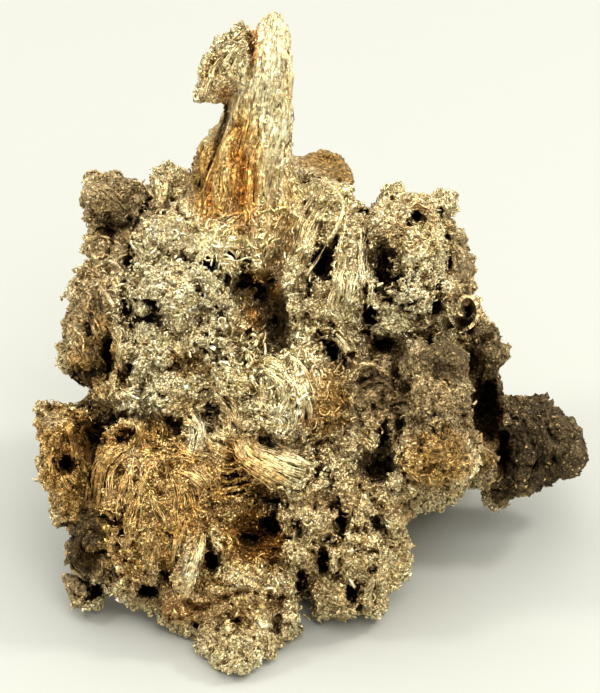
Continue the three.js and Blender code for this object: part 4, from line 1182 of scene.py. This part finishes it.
# The tower, in millimetres: nothing of it is further from its axis than TOWER_CLEAR, and its wires keep within
# TOWER_REACH. A look towards the axis is TOWER_LOOK long, and where it finds no crust a wire lies at TOWER_CORE.
# Wires whose distance from the axis jumps by TOWER_JUMP are left out.
TOWER_CLEAR = 9.0
TOWER_REACH = 5.6
TOWER_LOOK = 12.0
TOWER_CORE = 2.0
TOWER_JUMP = 0.7
CREEPING_SHEAVES = 80
# The middle of the mass, in millimetres. Wires are built with one edge away from it.
MIDDLE = np.array([-1.0, 3.0, 13.0])


def tower_wires(rng, count, steps):
    """Wires all round the tower, between its foot and its tip, gathered in locks."""
    axis = resample(from_face(TOWER), 120)
    locks = count // 6
    turn_of_lock = rng.uniform(0, 2 * math.pi, locks)
    length_of_lock = rng.uniform(0.10, 0.34, locks)
    start_of_lock = rng.random(locks) * (1 - length_of_lock)
    lean_of_lock = rng.normal(0, 0.35, locks)
    lines = []
    for number in range(count):
        lock = number % locks
        turn = turn_of_lock[lock] + rng.normal(0, 0.05)
        start = max(0.0, start_of_lock[lock] + rng.normal(0, 0.02))
        end = min(1.0, start + length_of_lock[lock] * rng.uniform(0.7, 1.2))
        lift = rng.normal(0.06, 0.04)
        line, reaches = [], []
        for share in np.linspace(start, end, steps):
            centre = axis[int(share * (len(axis) - 1))]
            angle = turn + lean_of_lock[lock] * (share - start) + 0.04 * math.sin(40 * share + 5 * turn)
            away = math.cos(angle) * ACROSS + math.sin(angle) * OUT
            start_place = Vector((centre + away * TOWER_CLEAR) * MM)
            gap = ground["grown"].ray_cast(start_place, Vector(-away), TOWER_LOOK * MM)[3]
            reaches.append(TOWER_CLEAR - gap / MM if gap is not None else TOWER_CORE)
            line.append(centre + (reaches[-1] + lift) * away)
        if np.abs(np.diff(reaches)).max() < TOWER_JUMP and max(reaches) < TOWER_REACH:
            lines.append(line)
    return frizz(rng, smoothed(np.array(lines), 2), 0.1, 0.6)


def surface_under(point):
    """The nearest point of the crust, its normal and the number of a vertex there."""
    place, normal, face, _ = ground["grown"].find_nearest(Vector(point * MM))
    return np.array(place) / MM, np.array(normal), ground["crust"].polygons[face].vertices[0]


def creeping(rng, spot, normal, length, half, count, steps=8):
    """A small sheaf that follows the surface wherever it lies."""
    ahead = unit(np.cross(normal, rng.normal(size=3)))
    turn = rng.normal(0, 0.12)
    middle, normals = [spot], [normal]
    for _ in range(steps - 1):
        ahead = unit(ahead + turn * np.cross(normals[-1], ahead))
        place, facing, _ = surface_under(middle[-1] + ahead * length / steps)
        ahead = unit(ahead - facing * (ahead @ facing))
        middle.append(place)
        normals.append(facing)
    middle, normals = smoothed(np.array([middle]), 2)[0], np.array(normals)
    aside = np.cross(normals, unit(np.gradient(middle, axis=0)))
    width = half * (0.45 + 0.55 * np.linspace(0, 1, steps))
    lines = []
    for place in rng.uniform(-1, 1, count):
        line = middle + aside * (width * place)[:, None]
        lift = 0.1 + 0.4 * (1 - place**2) * np.sin(np.linspace(0.2, 2.6, steps)) + rng.normal(0, 0.04)
        lines.append(line + normals * lift[:, None])
    return frizz(rng, np.array(lines), 0.08, 0.8)


def wires_piece(rng, name, groups, half, vary=0.3):
    """One mesh of many wires. Each group is an array of lines by points by 3."""
    parts, tones, places, near = [], [], [], []
    for lines in groups:
        count, steps, _ = lines.shape
        taper = 0.4 + 0.6 * np.sin(np.linspace(0.15, math.pi - 0.15, steps)) ** 0.4
        thick = half * rng.lognormal(0.0, vary, (count, 1)) * rng.lognormal(0.0, 0.16, (count, steps)) * taper
        outward = unit(lines - MIDDLE)
        lines[..., 2] = np.maximum(lines[..., 2], half)
        parts.append(tubes(lines, thick, outward))
        tones.append(np.repeat(rng.normal(0.5, 0.3, count), steps))
        places.append(lines.reshape(-1, 3))
        near += [surface_under(point)[2] for point in places[-1]]
    piece = mesh_piece(name, *joined(parts))
    paint_growth(piece, np.concatenate(places), np.array(near), np.concatenate(tones), SIDES)
    piece.data.shade_smooth()
    return piece


class SPECIMEN_OT_wires(bpy.types.Operator):
    """Lay bundles of wires on the tower, the sheaves and the fans, and small sheaves all round"""

    bl_idname = "specimen.wires"
    bl_label = "Wires"

    def execute(self, context):
        wire = context.scene.specimen_sizes.wire / MM
        rng = np.random.default_rng(41)
        material = metal("wire_silver")
        groups = [tower_wires(rng, count=1900, steps=10)]
        tower = wires_piece(rng, "silver_tower_wires", groups, 1.5 * wire, vary=0.4)
        grown(tower, metal("tower_silver"))
        groups = [bundle(rng, guide, half, round(1.2 * count), **how) for guide, half, count, how in BUNDLES]
        grown(wires_piece(rng, "silver_sheaf_wires", groups, wire), material)

        weight = (1 - ground["wiry"]) * (1 - ground["compact"]) * (ground["opened"] > 0.4)
        weight = weight * (to_face(vertices_of(ground["crust"]))[:, 2] < -2.5)
        spots, normals, _ = spots_on_crust(rng, CREEPING_SHEAVES, weight)
        groups = [creeping(rng, spot, normal, rng.uniform(2.0, 5.0), rng.uniform(0.4, 1.1), rng.integers(9, 24))
                  for spot, normal in zip(spots, normals)]
        grown(wires_piece(rng, "silver_creeping_wires", groups, 1.1 * wire), material)

        loose = []
        for guide in LOOSE:
            line = line_on_face(guide, LOOSE_STEPS)[0][None]
            loose.append(drop_on_face(line, 0.35 + 0.45 * np.sin(np.linspace(0, math.pi, LOOSE_STEPS))))
        grown(wires_piece(rng, "silver_loose_wires", loose, 2.4 * wire, vary=0.1), material)
        return {"FINISHED"}


# ---------------------------------------------------------------- leaves

# Leaves of metal: the line that each follows on the face, half width, tilt of its sheet in degrees, lift.
LEAVES = [
    # the blade over the slit, and the horn over the holed knob
    (((1.7, 1.5), (3.2, 1.3), (4.3, 0.3), (4.7, -1.2)), 0.40, 55, 0.5),
    (((4.2, -2.8), (5.2, -1.7), (6.6, -1.7), (7.6, -2.8)), 0.34, 60, 0.6),
    # the flap over the ledge's hole, and curled lips beside it
    (((-18.2, 9), (-16.9, 9.7), (-15.4, 9.6), (-14.3, 8.8)), 0.45, -50, 0.5),
    (((-18.6, 10.7), (-17.2, 11.2), (-15.7, 10.8)), 0.40, 60, 0.4),
    # the ribs down the left shoulder
    (((-19.6, 1.6), (-18.7, 0.6), (-18.6, -0.9), (-17.9, -2)), 0.55, 36, 0.35),
    (((-18.4, 3.6), (-17.3, 2.9), (-17, 1.4), (-17.5, 0.2)), 0.50, -38, 0.4),
    (((-17.3, -0.6), (-16.9, -2), (-17.2, -3.2), (-16.4, -4.3)), 0.55, 36, 0.35),
    (((-16.3, 2), (-15.5, 1.2), (-15.5, -0.2), (-16.1, -1)), 0.50, 40, 0.35),
    (((-15.6, -1.6), (-15, -2.5), (-15.3, -3.6)), 0.45, -36, 0.35),
    (((-19.9, -0.6), (-19, -1.6), (-18.9, -2.9)), 0.45, -38, 0.3),
    (((-19, 5), (-18.2, 4.3), (-18.3, 3.2)), 0.45, 38, 0.35),
    (((-17.2, 5.8), (-16.6, 4.6), (-16.2, 3.2)), 0.30, 40, 0.5),
    # the rims of the two niches above the golden face
    (((-13.2, -4.9), (-12.2, -6.2), (-12.5, -7.9)), 0.42, 50, 0.5),
    (((-10.4, -6.2), (-8.9, -6.7), (-8.3, -8), (-9.2, -9.7)), 0.50, -45, 0.5),
    (((-15, -4.4), (-13.8, -4.6), (-12.6, -5.4)), 0.60, 25, 0.4),
    # the tongue in the right shoulder's hole, and the lip over the hole above it
    (((7.3, 5.9), (8, 6.8), (8.6, 7.8)), 0.55, 30, 1.3),
    (((9.2, 11.9), (10.2, 12), (11.1, 11.2), (11.3, 10.2)), 0.45, 45, 0.4),
    # the gills
    *((((-6.5, -9.9 - 0.72 * i), (-5.2, -9.7 - 0.72 * i), (-3.9, -9.3 - 0.72 * i)), 0.26, 65, 0.45) for i in range(5)),
    # the left lobe's fans
    (((-21.2, -8.6), (-20.7, -10), (-19.8, -11.4)), 0.45, 50, 0.3),
    (((-19.3, -7.6), (-18.9, -9.2), (-18.5, -10.8)), 0.45, -50, 0.3),
    # ribs beside the pale strap
    (((-11.9, -15.2), (-11.3, -16.8), (-11.1, -18.6)), 0.40, 40, 0.3),
    (((-10.6, -14.6), (-10.4, -16.2), (-10.2, -17.8)), 0.34, -40, 0.3),
    # wavy lips in the middle
    (((-3.4, -1), (-2.4, -0.4), (-1.4, -1), (-1.8, -2)), 0.26, 50, 0.5),
    (((2.6, -4), (3.6, -4.6), (4.6, -4.4)), 0.34, 40, 0.4),
]
LEAF_THICKNESS = 0.16

# The rolled ribbon: where its middle is on the face, places on the crust behind it, and how far it stands off there.
ROLL_CENTRE = (14.1, 3.2)
UNDER_THE_ROLL = [(13.6, 3.6, 0.0), (13.8, 3.4, 0.0), (14.0, 3.2, 0.0)]
ROLL_LIFT = 0.7
ROLL_THICKNESS = 0.32


def sheet_faces(rows, columns):
    """Faces of a closed sheet: its front, its back behind it and its edges. Points go front first, row by row."""
    at = np.arange(rows * columns).reshape(rows, columns)
    back = at + rows * columns
    front = np.stack([at[:-1, :-1], at[1:, :-1], at[1:, 1:], at[:-1, 1:]], axis=-1).reshape(-1, 4)
    behind = np.stack([back[:-1, :-1], back[:-1, 1:], back[1:, 1:], back[1:, :-1]], axis=-1).reshape(-1, 4)
    rim = np.concatenate([at[:-1, 0], at[-1, :-1], at[:0:-1, -1], at[0, :0:-1]])
    after = np.roll(rim, -1)
    edge = np.stack([rim, rim + rows * columns, after + rows * columns, after], axis=-1)[:, ::-1]
    return np.concatenate([front, behind, edge])


def thick_sheet(grid, thick):
    """A closed sheet round a grid of points, rows by columns by 3."""
    normal = unit(np.cross(np.gradient(grid, axis=0), np.gradient(grid, axis=1)))
    rows, columns, _ = grid.shape
    sides = [(grid + away * thick * normal).reshape(-1, 3) for away in (0.5, -0.5)]
    return np.concatenate(sides), sheet_faces(rows, columns)


def leaf(guide, half, tilt, lift, rows=22, columns=7):
    """A cupped, ruffled leaf that stands on the crust along a guide of (across, up) places."""
    line, along, aside = line_on_face(guide, rows)
    spine = drop_on_face(line[None].copy(), lift)
    if not len(spine):
        return None
    angle = math.radians(tilt)
    side = (math.cos(angle) * aside) @ FACE_AXES + math.sin(angle) * OUT
    cup = np.cross(along @ FACE_AXES, side)
    width = half * (0.25 + 0.75 * np.sin(math.pi * (0.08 + 0.84 * np.linspace(0, 1, rows))) ** 0.6)
    over = np.linspace(-1, 1, columns)
    grid = (spine[0][:, None] + side[:, None] * (width[:, None] * over)[..., None]
            + cup[:, None] * (0.45 * width[:, None] * over**2)[..., None])
    return grid + 0.24 * drift(grid.reshape(-1, 3), 0.55, 71, 72, 73).reshape(grid.shape)


def rolled_ribbon(centre, halves, turns, length, rows=48, columns=6):
    """A ribbon rolled up like a scroll, seen from its end."""
    share = np.linspace(0, 1, rows)
    angle = 2.3 + 2 * math.pi * turns * share
    reach = 1.0 - 0.72 * share
    ring = np.stack([halves[0] * reach * np.cos(angle), halves[1] * reach * np.sin(angle), 0.5 * share], axis=1)
    deep = np.linspace(0, 1, columns)
    grid = ring[:, None] * (1 + 0.12 * (1 - deep) ** 2 - 0.35 * deep**2)[None, :, None] + centre
    grid = grid + (np.array([0.12, -0.05, -1.0]) * length) * deep[None, :, None]
    flat = from_face(grid.reshape(-1, 3))
    return (flat + 0.1 * drift(flat, 0.9, 74, 75, 76)).reshape(grid.shape)


class SPECIMEN_OT_leaves(bpy.types.Operator):
    """Set curled leaves of metal in the crust: the rolled ribbon, the blade, the gills and the ribs"""

    bl_idname = "specimen.leaves"
    bl_label = "Leaves"

    def execute(self, context):
        grids = [leaf(*row) for row in LEAVES]
        grids = [grid for grid in grids if grid is not None]
        under = to_face(drop_on_face(np.array([UNDER_THE_ROLL]), 0.0)[0])
        centre = np.array([*ROLL_CENTRE, under[:, 2].max() + ROLL_LIFT])
        grids.append(rolled_ribbon(centre, halves=(1.45, 1.9), turns=1.3, length=2.0))
        thicknesses = [LEAF_THICKNESS] * (len(grids) - 1) + [ROLL_THICKNESS]
        parts = [thick_sheet(grid, thick) for grid, thick in zip(grids, thicknesses)]
        places, tones = [], []
        for grid in grids:
            places.append(np.concatenate([grid.reshape(-1, 3)] * 2))
            rim = np.full(grid.shape[:2], 0.2)
            rim[:, 0] = rim[:, -1] = 0.7
            tones.append(np.concatenate([rim.ravel()] * 2))
        places = np.concatenate(places)
        near = np.array([surface_under(point)[2] for point in places])
        leaves = mesh_piece("silver_leaves", *joined(parts))
        tone = np.clip(np.concatenate(tones) + 0.15 * swells(places, 0.5, 77), 0, 1)
        # A fixed relief and a little more openness than the crust: less painted shade on the leaves.
        paint(leaves, places, tone=tone, relief=np.full(len(places), 0.6),
              opened=np.clip(ground["opened"][near] + 0.1, 0, 1))
        leaves.data.shade_smooth()
        grown(leaves, metal("leaf_silver"))
        return {"FINISHED"}


# ---------------------------------------------------------------- curls


def curls_piece(name, seed, count, steps, length, half, bend, weight):
    """One mesh of curled wires that stand in the crust."""
    rng = np.random.default_rng(seed)
    share = np.linspace(0, 1, steps)
    spots, normals, near = spots_on_crust(rng, count, weight)
    ahead = unit(np.cross(normals, rng.normal(size=(count, 3))))
    aside = np.cross(normals, ahead)
    reach = np.clip(rng.lognormal(math.log(length), 0.3, count), 0, 1.7 * length)[:, None] / steps
    angle = rng.normal(0, bend, count)[:, None] * share
    x = np.cumsum(np.cos(angle), axis=1) * reach
    y = np.cumsum(np.sin(angle), axis=1) * reach
    rise = rng.uniform(0.05, 0.3, (count, 1)) * length * np.sin(math.pi * (0.1 + 0.8 * share))
    lines = (spots[:, None] + ahead[:, None] * x[..., None] + aside[:, None] * y[..., None]
             + normals[:, None] * rise[..., None])
    taper = 0.55 + 0.5 * np.sin(math.pi * (0.12 + 0.76 * share))
    thick = half * rng.lognormal(0, 0.25, (count, 1)) * rng.lognormal(0, 0.12, (count, steps)) * taper
    points, faces = tubes(lines, thick, np.repeat(normals[:, None], steps, axis=1))
    points[:, 2] = np.maximum(points[:, 2], 0.0)
    curls = mesh_piece(name, points, faces)
    paint_growth(curls, spots, near, rng.normal(0.52, 0.3, count), steps * SIDES, 0.2)
    curls.data.shade_smooth()
    return curls


class SPECIMEN_OT_curls(bpy.types.Operator):
    """Grow short and long curled wires out of the crust"""

    bl_idname = "specimen.curls"
    bl_label = "Curls"

    def execute(self, context):
        sizes = context.scene.specimen_sizes
        material = metal("curl_silver")
        rough = (0.25 + ground["relief"]) * (1 - 0.9 * ground["compact"])
        rough = rough * (1 - ground["smooth"]) * (1 - 0.95 * ground["painted_shadow"])
        short = rough * (1 - 0.85 * ground["wiry"]) * (1 + 3 * ground["tangled"])
        crowded = rough * (0.015 + ground["curly"]) * (1 - 0.8 * ground["dark"])
        half = sizes.curl / MM
        thin = curls_piece("silver_curls", 977, sizes.curls, steps=5, length=0.6, half=half, bend=2.0, weight=short)
        grown(thin, material)
        thick = curls_piece(
            "silver_thick_curls", 978, sizes.worms, steps=9, length=1.2, half=1.6 * half, bend=4.0, weight=crowded)
        grown(thick, material)
        return {"FINISHED"}


# ---------------------------------------------------------------- stage

CAMERA_AWAY = 0.45
PICTURE_WIDTH = 0.051
SENSOR = 36.0
# The soft lights: place, size and power, and how warm they are.
LIGHTS = {
    "top_light": ((0.0, 0.06, 0.60), 0.85, 2.5, (1.0, 0.99, 0.97)),
    "front_light": ((0.10, -0.30, 0.46), 0.30, 1.3, (1.0, 0.99, 0.95)),
    "key_light": ((0.26, 0.05, 0.30), 0.06, 0.6, (1.0, 0.98, 0.92)),
    "side_light": ((-0.26, -0.02, 0.30), 0.08, 0.45, (1.0, 0.98, 0.93)),
}
# The sky's colour, and its brightness at the horizon and overhead.
SKY_COLOUR = (1.0, 0.99, 0.95, 1.0)
SKY_LOW, SKY_HIGH = 0.85, 0.95


def soft_light(name, place, size, power, colour):
    """An area light that looks at the specimen's middle."""
    data = bpy.data.lights.new(name, "AREA")
    data.shape = "DISK"
    data.size = size
    data.energy = power
    data.color = colour
    lamp = bpy.data.objects.new(name, data)
    lamp.location = place
    lamp.rotation_euler = (Vector((0, 0, 0.02)) - Vector(place)).to_track_quat("-Z", "Y").to_euler()
    bpy.context.scene.collection.objects.link(lamp)


class SPECIMEN_OT_stage(bpy.types.Operator):
    """Set up the floor, the lights and the camera"""

    bl_idname = "specimen.stage"
    bl_label = "Stage"

    def execute(self, context):
        scene = context.scene
        deselect()
        bpy.ops.mesh.primitive_plane_add(size=3.0, location=(0, 0, 0))
        floor = context.object
        floor.name = "floor"
        floor.data.materials.append(floor_material())

        camera = bpy.data.objects.new("camera", bpy.data.cameras.new("camera"))
        camera.data.sensor_fit = "HORIZONTAL"
        camera.data.sensor_width = SENSOR
        camera.data.lens = SENSOR * CAMERA_AWAY / PICTURE_WIDTH
        camera.data.clip_start = 0.01
        camera.location = Vector(FACE_ORIGIN * MM) + Vector(OUT) * CAMERA_AWAY
        camera.rotation_euler = Vector(-OUT).to_track_quat("-Z", "Y").to_euler()
        scene.collection.objects.link(camera)
        scene.camera = camera

        for name, (place, size, power, colour) in LIGHTS.items():
            soft_light(name, place, size, power, colour)
        world = scene.world or bpy.data.worlds.new("studio")
        scene.world = world
        world.use_nodes = True
        tree = world.node_tree
        aim = tree.nodes.new("ShaderNodeTexCoord")
        parts = tree.nodes.new("ShaderNodeSeparateXYZ")
        height = tree.nodes.new("ShaderNodeMapRange")
        for socket, number in zip(height.inputs[1:5], (0.0, 1.0, SKY_LOW, SKY_HIGH)):
            socket.default_value = number
        tree.links.new(aim.outputs["Generated"], parts.inputs[0])
        tree.links.new(parts.outputs["Z"], height.inputs[0])
        tree.links.new(height.outputs[0], tree.nodes["Background"].inputs["Strength"])
        tree.nodes["Background"].inputs["Color"].default_value = SKY_COLOUR
        scene.view_settings.view_transform = "Standard"
        return {"FINISHED"}


class SPECIMEN_PT_panel(bpy.types.Panel):
    """Lists the specimen's parts, sizes and colours"""

    bl_idname = "SPECIMEN_PT_panel"
    bl_label = "Native silver"
    bl_space_type = "VIEW_3D"
    bl_region_type = "UI"
    bl_category = "Specimen"

    def draw(self, context):
        for operator in OPERATORS:
            self.layout.operator(operator.bl_idname)
        for group in (context.scene.specimen_sizes, context.scene.specimen_colours):
            for name in group.__annotations__:
                self.layout.prop(group, name)


OPERATORS = (SPECIMEN_OT_stage, SPECIMEN_OT_crust, SPECIMEN_OT_grains, SPECIMEN_OT_wires, SPECIMEN_OT_leaves,
             SPECIMEN_OT_curls)
CLASSES = (SpecimenSizes, SpecimenColours, *OPERATORS, SPECIMEN_PT_panel)


def register():
    for cls in CLASSES:
        bpy.utils.register_class(cls)
    bpy.types.Scene.specimen_sizes = PointerProperty(type=SpecimenSizes)
    bpy.types.Scene.specimen_colours = PointerProperty(type=SpecimenColours)


def unregister():
    del bpy.types.Scene.specimen_colours
    del bpy.types.Scene.specimen_sizes
    for cls in reversed(CLASSES):
        bpy.utils.unregister_class(cls)


def main():
    """Builds the specimen and its stage."""
    register()
    bpy.ops.specimen.stage()
    bpy.ops.specimen.crust()
    bpy.ops.specimen.grains()
    bpy.ops.specimen.wires()
    bpy.ops.specimen.leaves()
    bpy.ops.specimen.curls()
    print("triangles", sum(grown_triangles.values()), grown_triangles)


if __name__ == "__main__":
    main()
